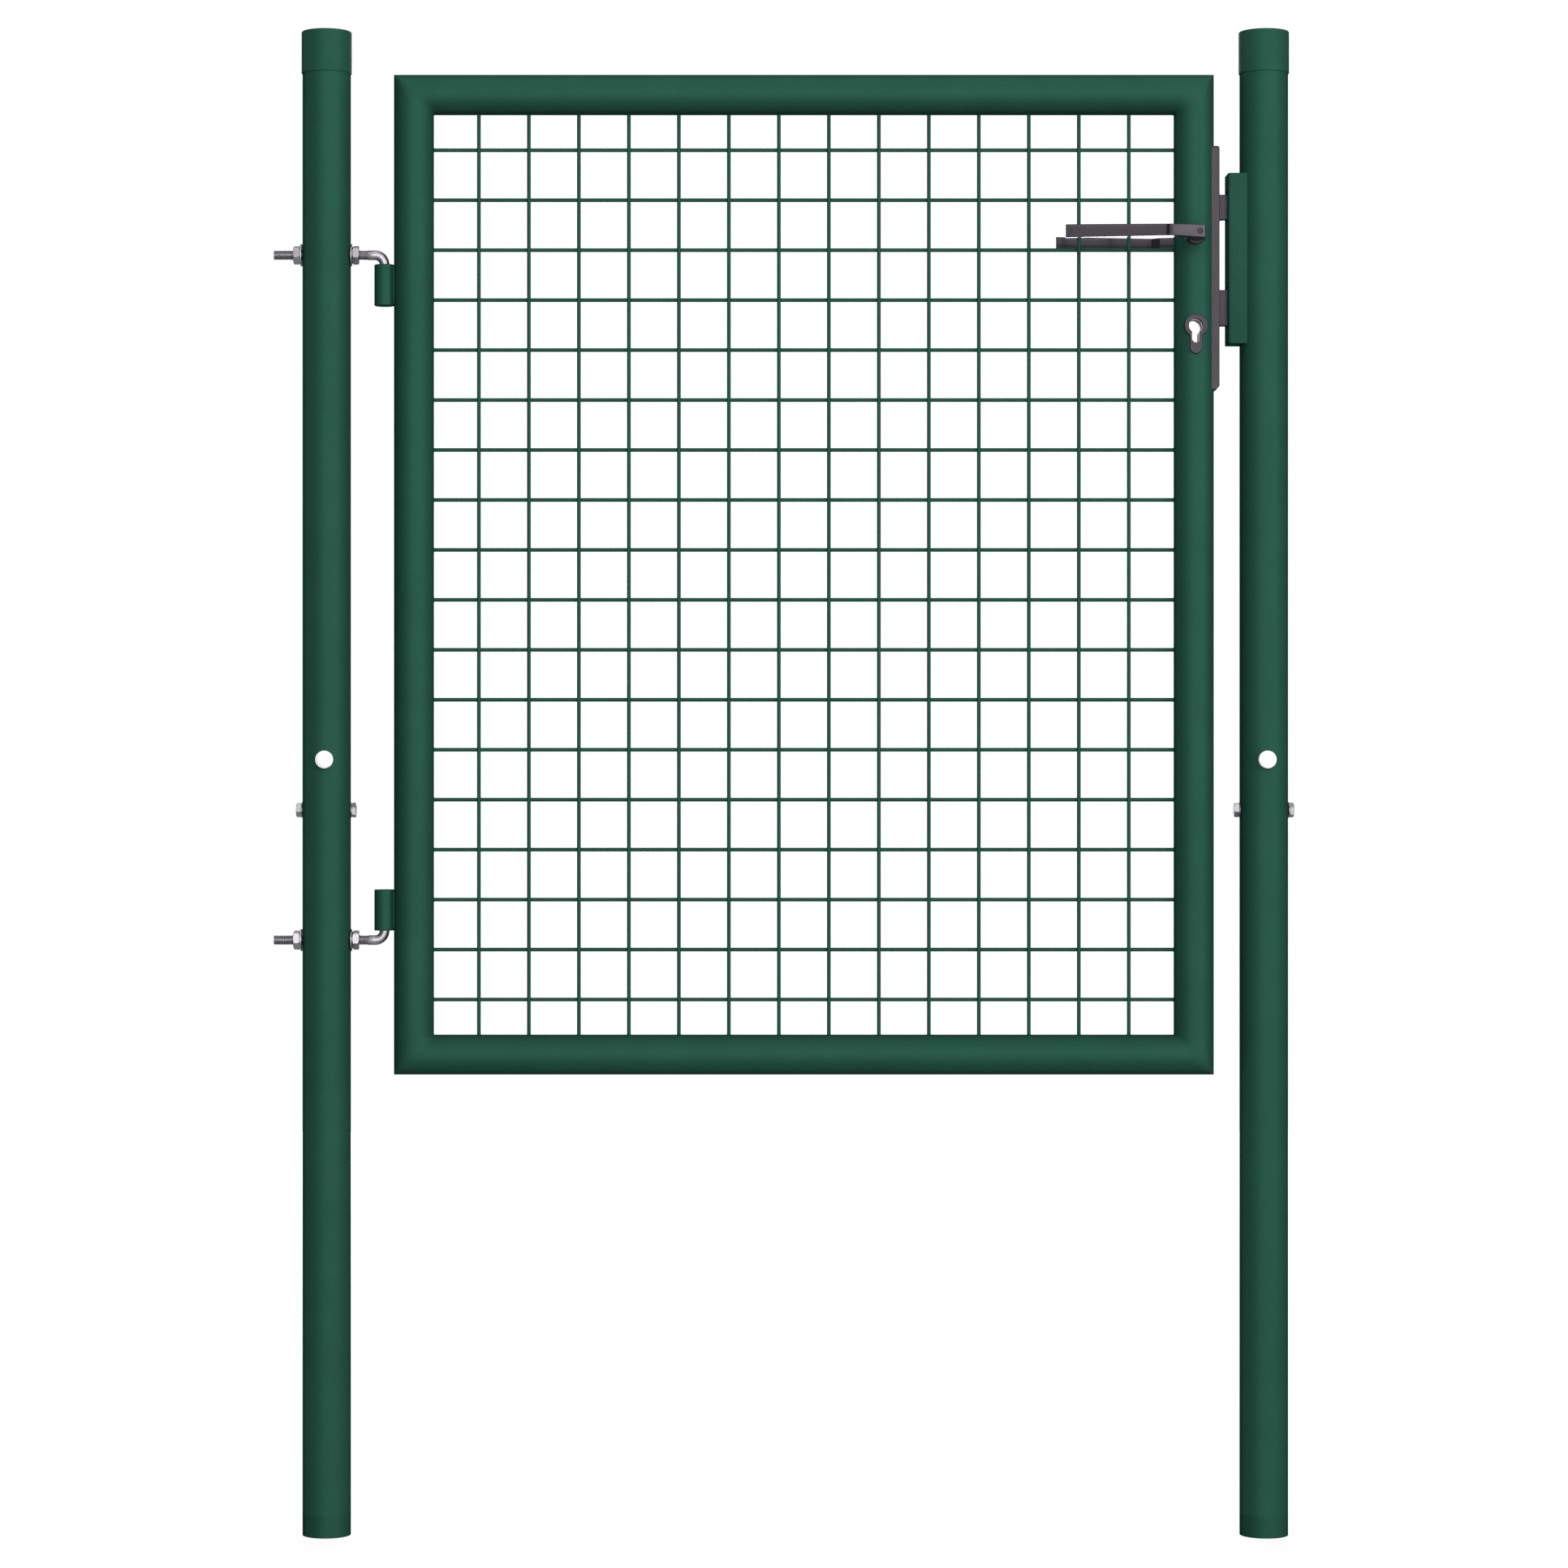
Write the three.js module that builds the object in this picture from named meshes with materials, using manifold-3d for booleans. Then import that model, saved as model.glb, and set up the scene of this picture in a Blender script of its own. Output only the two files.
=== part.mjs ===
// Single garden gate: two two-part posts, a mitred tube leaf with a welded wire infill,
// adjustable hook hinges, a tube lock with two levers, and a strike channel.
// Millimetres. +X from the hinge post to the latch post, front faces -Y, +Z up,
// Z 0 at the feet of the posts.

import * as THREE from 'three';
import { mergeVertices } from 'three/addons/utils/BufferGeometryUtils.js';
import Module from 'manifold-3d';

const wasm = await Module();
wasm.setup();

// General fits
const FIT = 0.3;
const THIN_FIT = 0.15;
const WELD_TOLERANCE = 1e-4;
const TUBE_SIDES = 40;
const SLEEVE_SIDES = 24;
const CAP_SIDES = 32;
const ROUND_SIDES = 20;
const WASHER_SIDES = 16;
const SMALL_SIDES = 12;

// Posts
const HINGE_POST_X = -457.5;
const LATCH_POST_X = 480;
const POST_R = 24.15;
const POST_WALL = 2;
const POST_TOP = 1500;
const POST_SEAM = 750;
const COUPLER_WALL = 2.5;
const COUPLER_HALF = 110;

// Post caps
const CAP_R = 25.1;
const CAP_INNER_R = 24.35;
const CAP_BOTTOM = 1461;
const CAP_TOP = 1503;
const CAP_EDGE = 2.2;

// Hex hardware
const M8_R = 4;
const M8_FLATS = 13;
const M8_HEAD = 5.3;
const M8_NUT = 4.65;
const M8_WASHER_R = 8;
const M8_WASHER = 0.9;
const SIDE_BOLT_Z = 724.7;
const SIDE_BOLT_REACH = 30.3;
const FRONT_BOLT_Z = 775;
const FRONT_NUT = 6.5;
const FRONT_WASHER = 1.6;
const FRONT_BOLT_TAIL = 35.2;
const HOLE_FIT = 0.35;

// White bolt covers
const COVER_R = 8.9;
const COVER_FACE_R = 6.1;
const COVER_INNER_R = 7.8;
const COVER_HEIGHT = 7.4;
const COVER_SKIN = 1.6;

// Hook hinges
const HINGE_AXIS_X = -399.6;
const HOOK_R = 5;
const HOOK_BEND = 9.3;
const HOOK_END_X = -510.3;
const HOOK_THREAD_CHAMFER = 1;
const UPPER_HOOK_Z = 1279.6;
const LOWER_HOOK_Z = 594.6;
const PIN_LENGTH = 39;
const PIN_CHAMFER = 1.2;
const M10_FLATS = 17;
const M10_NUT = 6.9;
const M10_WASHER_R = 11.2;
const M10_WASHER = 1.7;
const BARREL_R = 10.25;
const BARREL_LENGTH = 41;
const BARREL_WELD_HALF = 6.5;

// Leaf frame
const LEAF_LEFT = -390.2;
const LEAF_RIGHT = 429.9;
const LEAF_BOTTOM = 460;
const LEAF_TOP = 1460;
const FRAME_R = 20;
const FRAME_WALL = 2;
const MITRE_GAP = 0.2;
const LOCK_LENGTH_LOW = 1172;
const LOCK_LENGTH_HIGH = 1242;

// Wire infill
const WIRE = 3.5;
const WIRE_PITCH = 50;
const UPRIGHT_WIRES = 14;
const LEVEL_WIRES = 18;
const WIRE_SINK = 0.5;

// Lock
const SPINDLE_Z = 1297.5;
const SPINDLE_HALF = 4;
const KEY_Z = 1207.2;
const KEY_R = 7.2;
const KEY_TAIL_HALF = 4.1;
const KEY_HEIGHT = 24.1;
const KEY_BACK_MARGIN = 1.8;
const CASE_LEFT = 394.3;
const CASE_RIGHT = 431.8;
const CASE_HALF = 8;
const CASE_WALL = 1.5;
const CASE_BOTTOM = 1165;
const CASE_TOP = 1368;
const BOLT_HALF = 5.8;

// Faceplate
const PLATE_FACE = 434.6;
const PLATE_WEB = 2.5;
const PLATE_HALF = 11;
const PLATE_FLANGE = 2;
const PLATE_BOTTOM = 1143;
const PLATE_TOP = 1388;
const PLATE_CORNER = 3;
const PLATE_SCREW_INSET = 10.5;
const SCREW_R = 2.5;
const SCREW_HEAD_R = 4.7;
const SCREW_TIP_X = 421;

// Latch bolt, dead bolt and spring
const LATCH_LOW = 1314.6;
const LATCH_HIGH = 1339.6;
const LATCH_BACK = 420.5;
const LATCH_TIP = 447.3;
const LATCH_BEVEL = 10.8;
const LATCH_NOSE = 2.3;
const FINGER_LEFT = 408.6;
const FINGER_WIDTH = 2.8;
const FINGER_LOW = 1310;
const TAIL_LOW = 1321;
const TAIL_HIGH = 1325.5;
const SPRING_Z = 1332;
const SPRING_R = 3.6;
const SPRING_WIRE_R = 0.5;
const SPRING_TURNS = 8;
const SPRING_POCKET_R = 4.6;
const SPRING_POCKET_END = 440;
const DEAD_LOW = 1208.7;
const DEAD_HIGH = 1244.4;
const DEAD_BACK = 410.5;
const DEAD_TIP = 449;
const DEAD_STEP_X = 433;
const DEAD_STEP_Z = 1216;

// Follower
const HUB_R = 8.5;
const ARM_REACH = 22;
const ARM_HALF = 2.5;
const ARM_TILT = THREE.MathUtils.degToRad(20);

// Levers
const GRIP_END_X = 277.5;
const BEND_X = 386;
const HUB_LEFT_X = 397.5;
const HUB_RIGHT_X = 417.6;
const GRIP_END_Y = 52;
const BEND_Y = 61.7;
const HUB_FACE_Y = 50.3;
const HUB_BACK_Y = 26.5;
const GRIP_THICK = 7;
const GRIP_END_TALL = 12.9;
const BEND_TALL = 11.6;
const HUB_TALL = 12.6;
const RIVET_R = 2.5;
const RIVET_REACH = 51;
const SOCKET_DEPTH_Y = 44;

// Collars and keyhole plates
const COLLAR_R = 9.7;
const COLLAR_BORE_R = 6.3;
const COLLAR_NECK_R = 7;
const COLLAR_FRONT = 26.2;
const COLLAR_NECK_Y = 8.4;
const KEY_PLATE_R = 11.7;
const KEY_PLATE_TAIL_HALF = 6.3;
const KEY_PLATE_LOW = 1179.2;
const KEY_PLATE_Y = 22;

// Strike channel
const STRIKE_X = 442.7;
const STRIKE_WALL = 3;
const STRIKE_HALF = 16;
const STRIKE_BOTTOM = 1190;
const STRIKE_TOP = 1360;
const STRIKE_BEND = 2.5;
const STRIKE_SLOT_HALF = 8;
const STRIKE_SLOT_MARGIN = 3.6;

const STILE_X = LEAF_RIGHT - FRAME_R;
const HINGE_STILE_X = LEAF_LEFT + FRAME_R;
const CORNER = THREE.MathUtils.degToRad(45);

const GREEN = { color: 0x2a5345, roughness: 0.5, metalness: 0.1 };
const GREEN_PLASTIC = { color: 0x2a5345, roughness: 0.55, metalness: 0 };
const ZINC = { color: 0xa5a0a5, roughness: 0.35, metalness: 0.9 };
const LOCK_STEEL = { color: 0x6f6a70, roughness: 0.4, metalness: 0.9 };
const DARK_METAL = { color: 0x4b444b, roughness: 0.45, metalness: 0.6 };
const WHITE = { color: 0xf4f4f2, roughness: 0.4, metalness: 0 };

const gate = new THREE.Group();
gate.name = 'garden_gate';

// ---- geometry helpers ----

function toManifold(geometry) {
  const bare = geometry.clone();
  bare.deleteAttribute('normal');
  bare.deleteAttribute('uv');
  const merged = mergeVertices(bare, WELD_TOLERANCE);
  const mesh = new wasm.Mesh({
    numProp: 3,
    vertProperties: new Float32Array(merged.attributes.position.array),
    triVerts: new Uint32Array(merged.index.array),
  });
  return new wasm.Manifold(mesh);
}

function toGeometry(manifold) {
  const mesh = manifold.getMesh();
  const indexed = new THREE.BufferGeometry();
  indexed.setAttribute('position', new THREE.BufferAttribute(mesh.vertProperties, 3));
  indexed.setIndex(new THREE.BufferAttribute(mesh.triVerts, 1));
  const flat = indexed.toNonIndexed();
  flat.computeVertexNormals();
  return flat;
}

function join(...geometries) {
  return toGeometry(geometries.map(toManifold).reduce((sum, next) => sum.add(next)));
}

function cut(body, ...cutters) {
  const start = toManifold(body);
  return toGeometry(cutters.map(toManifold).reduce((rest, next) => rest.subtract(next), start));
}

function arcPoints(x, y, radius, from, to, steps) {
  const points = [];
  for (let i = 0; i <= steps; i += 1) {
    const angle = from + (to - from) * i / steps;
    points.push(new THREE.Vector2(x + radius * Math.cos(angle), y + radius * Math.sin(angle)));
  }
  return points;
}

function circlePoints(x, y, radius, sides, start = 0) {
  return arcPoints(x, y, radius, start, start + 2 * Math.PI, sides).slice(0, sides);
}

function polygon(points) {
  return new THREE.Shape(points.map((p) => (p.isVector2 ? p : new THREE.Vector2(p[0], p[1]))));
}

function rectangle(x0, y0, x1, y1) {
  return polygon([[x0, y0], [x1, y0], [x1, y1], [x0, y1]]);
}

// Shapes for axis 'x' are drawn in (Y, Z), for axis 'y' in (X, Z), for axis 'z' in (X, Y).
function prism(shape, axis, low, high) {
  const geometry = new THREE.ExtrudeGeometry(shape, { depth: high - low, bevelEnabled: false });
  const turn = new THREE.Matrix4();
  if (axis === 'x') {
    turn.makeBasis(
      new THREE.Vector3(0, 1, 0),
      new THREE.Vector3(0, 0, 1),
      new THREE.Vector3(1, 0, 0),
    );
    return geometry.applyMatrix4(turn).translate(low, 0, 0);
  }
  if (axis === 'y') {
    turn.makeBasis(
      new THREE.Vector3(1, 0, 0),
      new THREE.Vector3(0, 0, 1),
      new THREE.Vector3(0, -1, 0),
    );
    return geometry.applyMatrix4(turn).translate(0, high, 0);
  }
  return geometry.translate(0, 0, low);
}

function box(x0, x1, y0, y1, z0, z1) {
  return prism(rectangle(x0, y0, x1, y1), 'z', z0, z1);
}

// A round bar; (u, v) is its centre in the same plane order as prism's shapes.
function rod(axis, u, v, radius, low, high, sides = SMALL_SIDES) {
  return prism(polygon(circlePoints(u, v, radius, sides)), axis, low, high);
}

// Turned body about +Z at the origin from an anticlockwise [radius, height] profile.
function turned(profile, sides) {
  const points = profile.map(([r, h]) => new THREE.Vector2(r, h));
  const spun = new THREE.LatheGeometry(points, sides).rotateX(Math.PI / 2);
  return toGeometry(toManifold(spun));
}

function ring(outer, inner, low, high, sides) {
  return turned(
    [[inner, low], [outer, low], [outer, high], [inner, high], [inner, low]],
    sides,
  );
}

// Points a body made about +Z along another axis, then moves it.
function place(geometry, axis, x, y, z) {
  if (axis === '+x') {
    geometry.rotateY(Math.PI / 2);
  }
  if (axis === '-x') {
    geometry.rotateY(-Math.PI / 2);
  }
  if (axis === '+y') {
    geometry.rotateX(-Math.PI / 2);
  }
  if (axis === '-y') {
    geometry.rotateX(Math.PI / 2);
  }
  return geometry.translate(x, y, z);
}

function add(name, geometry, look) {
  const mesh = new THREE.Mesh(geometry, new THREE.MeshStandardMaterial(look));
  mesh.name = name;
  gate.add(mesh);
}

// ---- hex bolts, nuts and washers ----

// Corners of the hexagon point along +Z and -Z once the axis lies along X or Y.
function hexPoints(flats, quarterTurn) {
  return circlePoints(0, 0, flats / Math.sqrt(3), 6, quarterTurn ? Math.PI / 2 : 0);
}

function hexNut(flats, bore, thick) {
  const shape = polygon(hexPoints(flats, false));
  shape.holes.push(new THREE.Path(circlePoints(0, 0, bore, SMALL_SIDES)));
  return new THREE.ExtrudeGeometry(shape, { depth: thick, bevelEnabled: false });
}

// Head from height 0 up, shank down to -reach.
function hexBolt(flats, radius, head, reach) {
  const cap = prism(polygon(hexPoints(flats, false)), 'z', 0, head);
  return join(cap, rod('z', 0, 0, radius, -reach, head / 2, SMALL_SIDES));
}

function washer(outer, bore, thick) {
  return ring(outer, bore, 0, thick, WASHER_SIDES);
}

// ---- posts ----

function buildPost(prefix, x, extraHoles) {
  const inner = POST_R - POST_WALL;
  const coupler = inner - FIT;
  const sideHole = rod('x', 0, SIDE_BOLT_Z, M8_R + HOLE_FIT, x - POST_R - 1, x + POST_R + 1);
  const frontHole = rod('y', x, FRONT_BOLT_Z, M8_R + HOLE_FIT, -POST_R - 1, POST_R + 1);
  const lower = ring(POST_R, inner, 0, POST_SEAM - THIN_FIT, TUBE_SIDES).translate(x, 0, 0);
  const upper = ring(POST_R, inner, POST_SEAM + THIN_FIT, POST_TOP, TUBE_SIDES).translate(x, 0, 0);
  const sleeve = ring(
    coupler,
    coupler - COUPLER_WALL,
    POST_SEAM - COUPLER_HALF,
    POST_SEAM + COUPLER_HALF,
    SLEEVE_SIDES,
  ).translate(x, 0, 0);
  add(`${prefix}_lower_tube`, cut(lower, sideHole), GREEN);
  add(`${prefix}_upper_tube`, cut(upper, frontHole, ...extraHoles), GREEN);
  add(`${prefix}_coupler`, cut(sleeve, sideHole, frontHole), ZINC);

  const cap = turned([
    [0, POST_TOP + FIT],
    [CAP_INNER_R, POST_TOP + FIT],
    [CAP_INNER_R, CAP_BOTTOM],
    [CAP_R, CAP_BOTTOM],
    [CAP_R, CAP_TOP - CAP_EDGE],
    [CAP_R - CAP_EDGE * (1 - Math.cos(CORNER)), CAP_TOP - CAP_EDGE * (1 - Math.sin(CORNER))],
    [CAP_R - CAP_EDGE, CAP_TOP],
    [0, CAP_TOP],
  ], CAP_SIDES);
  add(`${prefix}_cap`, cap.translate(x, 0, 0), GREEN_PLASTIC);

  const seat = POST_R + THIN_FIT;
  const bore = M8_R + HOLE_FIT;
  const headSeat = SIDE_BOLT_REACH - M8_HEAD;
  const tail = headSeat + SIDE_BOLT_REACH;
  const sideBolt = hexBolt(M8_FLATS, M8_R, M8_HEAD, tail);
  add(`${prefix}_side_bolt`, place(sideBolt, '-x', x - headSeat, 0, SIDE_BOLT_Z), ZINC);
  const sideWasherLeft = washer(M8_WASHER_R, bore, headSeat - THIN_FIT / 2 - seat);
  const sideWasherRight = washer(M8_WASHER_R, bore, M8_WASHER);
  const sideNut = hexNut(M8_FLATS, bore, M8_NUT);
  add(
    `${prefix}_side_washer_left`,
    place(sideWasherLeft, '-x', x - seat, 0, SIDE_BOLT_Z),
    ZINC,
  );
  add(
    `${prefix}_side_washer_right`,
    place(sideWasherRight, '+x', x + seat, 0, SIDE_BOLT_Z),
    ZINC,
  );
  add(
    `${prefix}_side_nut`,
    place(sideNut, '+x', x + seat + M8_WASHER + THIN_FIT / 2, 0, SIDE_BOLT_Z),
    ZINC,
  );

  const frontBolt = hexBolt(M8_FLATS, M8_R, M8_HEAD, seat + FRONT_BOLT_TAIL);
  add(`${prefix}_front_bolt`, place(frontBolt, '-y', x, -seat, FRONT_BOLT_Z), ZINC);
  const frontWasher = washer(M8_WASHER_R, bore, FRONT_WASHER);
  add(`${prefix}_front_washer`, place(frontWasher, '+y', x, seat, FRONT_BOLT_Z), ZINC);
  const frontNut = hexNut(M8_FLATS, bore, FRONT_NUT);
  add(
    `${prefix}_front_nut`,
    place(frontNut, '+y', x, seat + FRONT_WASHER + THIN_FIT, FRONT_BOLT_Z),
    ZINC,
  );
  const cover = turned([
    [0, COVER_HEIGHT - COVER_SKIN],
    [COVER_INNER_R, COVER_HEIGHT - COVER_SKIN],
    [COVER_INNER_R, 0],
    [COVER_R, 0],
    [COVER_R, COVER_HEIGHT - 2 * COVER_SKIN],
    [COVER_FACE_R, COVER_HEIGHT - COVER_SKIN / 4],
    [0, COVER_HEIGHT],
  ], ROUND_SIDES);
  add(`${prefix}_front_cover`, place(cover, '-y', x, -seat - THIN_FIT, FRONT_BOLT_Z), WHITE);
}

function hookHole(z) {
  const low = HINGE_POST_X - POST_R - 1;
  const high = HINGE_POST_X + POST_R + 1;
  return rod('x', 0, z, HOOK_R + HOLE_FIT, low, high);
}

buildPost('hinge_post', HINGE_POST_X, [hookHole(UPPER_HOOK_Z)]);
const lowerPost = gate.getObjectByName('hinge_post_lower_tube');
lowerPost.geometry = cut(lowerPost.geometry, hookHole(LOWER_HOOK_Z));
buildPost('latch_post', LATCH_POST_X, []);

// ---- hook hinges ----

// Rings of a round rod that bends in the XZ plane, closed at both ends.
function bentRod(stations, sides) {
  const positions = [];
  const index = [];
  stations.forEach(({ x, z, tx, tz, radius }) => {
    for (let i = 0; i < sides; i += 1) {
      const angle = 2 * Math.PI * i / sides;
      const side = radius * Math.cos(angle);
      const rise = radius * Math.sin(angle);
      positions.push(x - tz * rise, side, z + tx * rise);
    }
  });
  for (let s = 0; s + 1 < stations.length; s += 1) {
    for (let i = 0; i < sides; i += 1) {
      const a = s * sides + i;
      const b = s * sides + (i + 1) % sides;
      index.push(a, b, a + sides, b, b + sides, a + sides);
    }
  }
  const last = (stations.length - 1) * sides;
  for (let i = 1; i + 1 < sides; i += 1) {
    index.push(0, i + 1, i, last, last + i, last + i + 1);
  }
  const geometry = new THREE.BufferGeometry();
  geometry.setAttribute('position', new THREE.Float32BufferAttribute(positions, 3));
  geometry.setIndex(index);
  return toGeometry(toManifold(geometry));
}

function hook(z, down) {
  const steps = 6;
  const turn = down ? -1 : 1;
  const start = HINGE_AXIS_X - HOOK_BEND;
  const stations = [
    { x: HOOK_END_X, z, tx: 1, tz: 0, radius: HOOK_R - HOOK_THREAD_CHAMFER },
    { x: HOOK_END_X + HOOK_THREAD_CHAMFER, z, tx: 1, tz: 0, radius: HOOK_R },
  ];
  for (let i = 0; i <= steps; i += 1) {
    const angle = Math.PI / 2 * i / steps;
    stations.push({
      x: start + HOOK_BEND * Math.sin(angle),
      z: z + turn * HOOK_BEND * (1 - Math.cos(angle)),
      tx: Math.cos(angle),
      tz: turn * Math.sin(angle),
      radius: HOOK_R,
    });
  }
  const tip = z + turn * (HOOK_BEND + PIN_LENGTH);
  stations.push({ x: HINGE_AXIS_X, z: tip - turn * PIN_CHAMFER, tx: 0, tz: turn, radius: HOOK_R });
  stations.push({ x: HINGE_AXIS_X, z: tip, tx: 0, tz: turn, radius: HOOK_R - PIN_CHAMFER });
  return bentRod(stations, 16);
}

function addHook(prefix, z, down) {
  add(`${prefix}_hook`, hook(z, down), ZINC);
  const seat = POST_R + THIN_FIT;
  const nutSeat = seat + M10_WASHER + THIN_FIT;
  const bore = HOOK_R + HOLE_FIT;
  [['outer', '-x', -1], ['inner', '+x', 1]].forEach(([side, axis, sign]) => {
    const disc = washer(M10_WASHER_R, bore, M10_WASHER);
    const nut = hexNut(M10_FLATS, bore, M10_NUT);
    add(`${prefix}_washer_${side}`, place(disc, axis, HINGE_POST_X + sign * seat, 0, z), ZINC);
    add(`${prefix}_nut_${side}`, place(nut, axis, HINGE_POST_X + sign * nutSeat, 0, z), ZINC);
  });
}

addHook('upper_hinge', UPPER_HOOK_Z, true);
addHook('lower_hinge', LOWER_HOOK_Z, false);

function barrel(low) {
  const high = low + BARREL_LENGTH;
  const body = rod('z', HINGE_AXIS_X, 0, BARREL_R, low, high, ROUND_SIDES);
  const weld = box(
    HINGE_AXIS_X,
    HINGE_STILE_X - FRAME_R * Math.cos(CORNER),
    -BARREL_WELD_HALF,
    BARREL_WELD_HALF,
    low,
    high,
  );
  const bore = rod('z', HINGE_AXIS_X, 0, HOOK_R + FIT, low - 1, high + 1, 16);
  const stile = rod('z', HINGE_STILE_X, 0, FRAME_R + FIT, low - 1, high + 1, TUBE_SIDES);
  return cut(join(body, weld), bore, stile);
}

add('upper_hinge_barrel', barrel(UPPER_HOOK_Z - HOOK_BEND - FIT - BARREL_LENGTH), GREEN);
add('lower_hinge_barrel', barrel(LOWER_HOOK_Z + HOOK_BEND + FIT), GREEN);

// ---- leaf frame ----

// A tube whose two ends are cut at 45 degrees, shorter on the side towards the leaf's middle.
// Made along +Z about the origin with its short side towards +X.
function mitredTube(length) {
  const blank = ring(FRAME_R, FRAME_R - FRAME_WALL, 0, 1, TUBE_SIDES);
  const position = blank.attributes.position;
  for (let i = 0; i < position.count; i += 1) {
    const step = position.getX(i) + FRAME_R + MITRE_GAP;
    position.setZ(i, position.getZ(i) > 0.5 ? length - step : step);
  }
  return blank;
}

const leafWidth = LEAF_RIGHT - LEAF_LEFT;
const leafHeight = LEAF_TOP - LEAF_BOTTOM;
const hingeStile = mitredTube(leafHeight).translate(HINGE_STILE_X, 0, LEAF_BOTTOM);
const latchStileBlank = mitredTube(leafHeight).rotateZ(Math.PI).translate(STILE_X, 0, LEAF_BOTTOM);
// Turning +Z to +X puts the short side down; the second turn puts it up.
const topRail = mitredTube(leafWidth).rotateY(Math.PI / 2)
  .translate(LEAF_LEFT, 0, LEAF_TOP - FRAME_R);
const bottomRail = mitredTube(leafWidth).rotateY(Math.PI / 2).rotateX(Math.PI)
  .translate(LEAF_LEFT, 0, LEAF_BOTTOM + FRAME_R);

function keyhole(radius, tailHalf, low, grow) {
  const r = radius + grow;
  const t = tailHalf + grow;
  const meet = Math.asin(t / r);
  const tailCentre = low - grow + t;
  const points = [
    ...arcPoints(STILE_X, KEY_Z, r, -Math.PI / 2 + meet, 3 * Math.PI / 2 - meet, 20),
    ...arcPoints(STILE_X, tailCentre, t, Math.PI, 2 * Math.PI, 6),
  ];
  return polygon(points);
}

const keyLow = KEY_Z + KEY_R - KEY_HEIGHT;

function keyCut(grow, low, high) {
  return prism(keyhole(KEY_R, KEY_TAIL_HALF, keyLow, grow), 'y', low, high);
}

const slot = box(
  STILE_X,
  LEAF_RIGHT + 1,
  -CASE_HALF - THIN_FIT * 3,
  CASE_HALF + THIN_FIT * 3,
  CASE_BOTTOM - FIT,
  CASE_TOP + FIT,
);
const screwHeights = [PLATE_BOTTOM + PLATE_SCREW_INSET, PLATE_TOP - PLATE_SCREW_INSET];

function screwHoles(radius) {
  return screwHeights.map((z) => rod('x', 0, z, radius, STILE_X, PLATE_FACE + 1));
}

const latchStile = cut(
  latchStileBlank,
  slot,
  rod('y', STILE_X, SPINDLE_Z, COLLAR_NECK_R + FIT, -FRAME_R - 1, FRAME_R + 1, ROUND_SIDES),
  keyCut(2 * FIT, -FRAME_R - 1, 0),
  keyCut(KEY_BACK_MARGIN, 0, FRAME_R + 1),
  ...screwHoles(SCREW_R + HOLE_FIT),
);
add('leaf_hinge_stile', hingeStile, GREEN);
add('leaf_top_rail', topRail, GREEN);
add('leaf_bottom_rail', bottomRail, GREEN);

// The latch stile in three lengths, so that the short one around the keyhole keeps its opening.
function stileLength(low, high) {
  const reach = 2 * FRAME_R;
  const below = box(STILE_X - reach, STILE_X + reach, -reach, reach, LEAF_BOTTOM - reach, low);
  const above = box(STILE_X - reach, STILE_X + reach, -reach, reach, high, LEAF_TOP + reach);
  return cut(latchStile, below, above);
}

add(
  'leaf_latch_stile_lower',
  stileLength(LEAF_BOTTOM - FRAME_R, LOCK_LENGTH_LOW - THIN_FIT),
  GREEN,
);
add(
  'leaf_latch_stile_lock',
  stileLength(LOCK_LENGTH_LOW + THIN_FIT, LOCK_LENGTH_HIGH - THIN_FIT),
  GREEN,
);
add(
  'leaf_latch_stile_upper',
  stileLength(LOCK_LENGTH_HIGH + THIN_FIT, LEAF_TOP + FRAME_R),
  GREEN,
);

// ---- wire infill, welded into one panel ----

function wireCentres(middle, count) {
  const centres = [];
  for (let i = 0; i < count; i += 1) {
    centres.push(middle + (i - (count - 1) / 2) * WIRE_PITCH);
  }
  return centres;
}

const leafMiddleX = (LEAF_LEFT + LEAF_RIGHT) / 2;
const leafMiddleZ = (LEAF_BOTTOM + LEAF_TOP) / 2;
const inset = 2 * FRAME_R + FIT;
const half = WIRE / 2;
const layer = half - WIRE_SINK / 2;
const uprights = wireCentres(leafMiddleX, UPRIGHT_WIRES).map((x) => box(
  x - half,
  x + half,
  -layer - half,
  -layer + half,
  LEAF_BOTTOM + inset,
  LEAF_TOP - inset,
));
const levels = wireCentres(leafMiddleZ, LEVEL_WIRES).map((z) => box(
  LEAF_LEFT + inset,
  LEAF_RIGHT - inset,
  layer - half,
  layer + half,
  z - half,
  z + half,
));
add('wire_infill', join(...uprights, ...levels), GREEN);

// ---- lock case and cover ----

const spindleHole = rod('y', STILE_X, SPINDLE_Z, COLLAR_BORE_R, -CASE_HALF - 1, CASE_HALF + 1, 16);
const tray = cut(
  box(CASE_LEFT, CASE_RIGHT, -CASE_HALF + CASE_WALL + THIN_FIT, CASE_HALF, CASE_BOTTOM, CASE_TOP),
  box(
    CASE_LEFT + CASE_WALL,
    CASE_RIGHT + 1,
    -CASE_HALF - 1,
    CASE_HALF - CASE_WALL,
    CASE_BOTTOM + CASE_WALL,
    CASE_TOP - CASE_WALL,
  ),
  spindleHole,
  keyCut(0, -CASE_HALF - 1, CASE_HALF + 1),
);
add('lock_case', tray, LOCK_STEEL);
const cover = cut(
  box(CASE_LEFT, CASE_RIGHT, -CASE_HALF, -CASE_HALF + CASE_WALL, CASE_BOTTOM, CASE_TOP),
  spindleHole,
  keyCut(FIT, -CASE_HALF - 1, CASE_HALF + 1),
);
add('lock_cover', cover, LOCK_STEEL);

// ---- faceplate with its two countersunk screws ----

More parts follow.
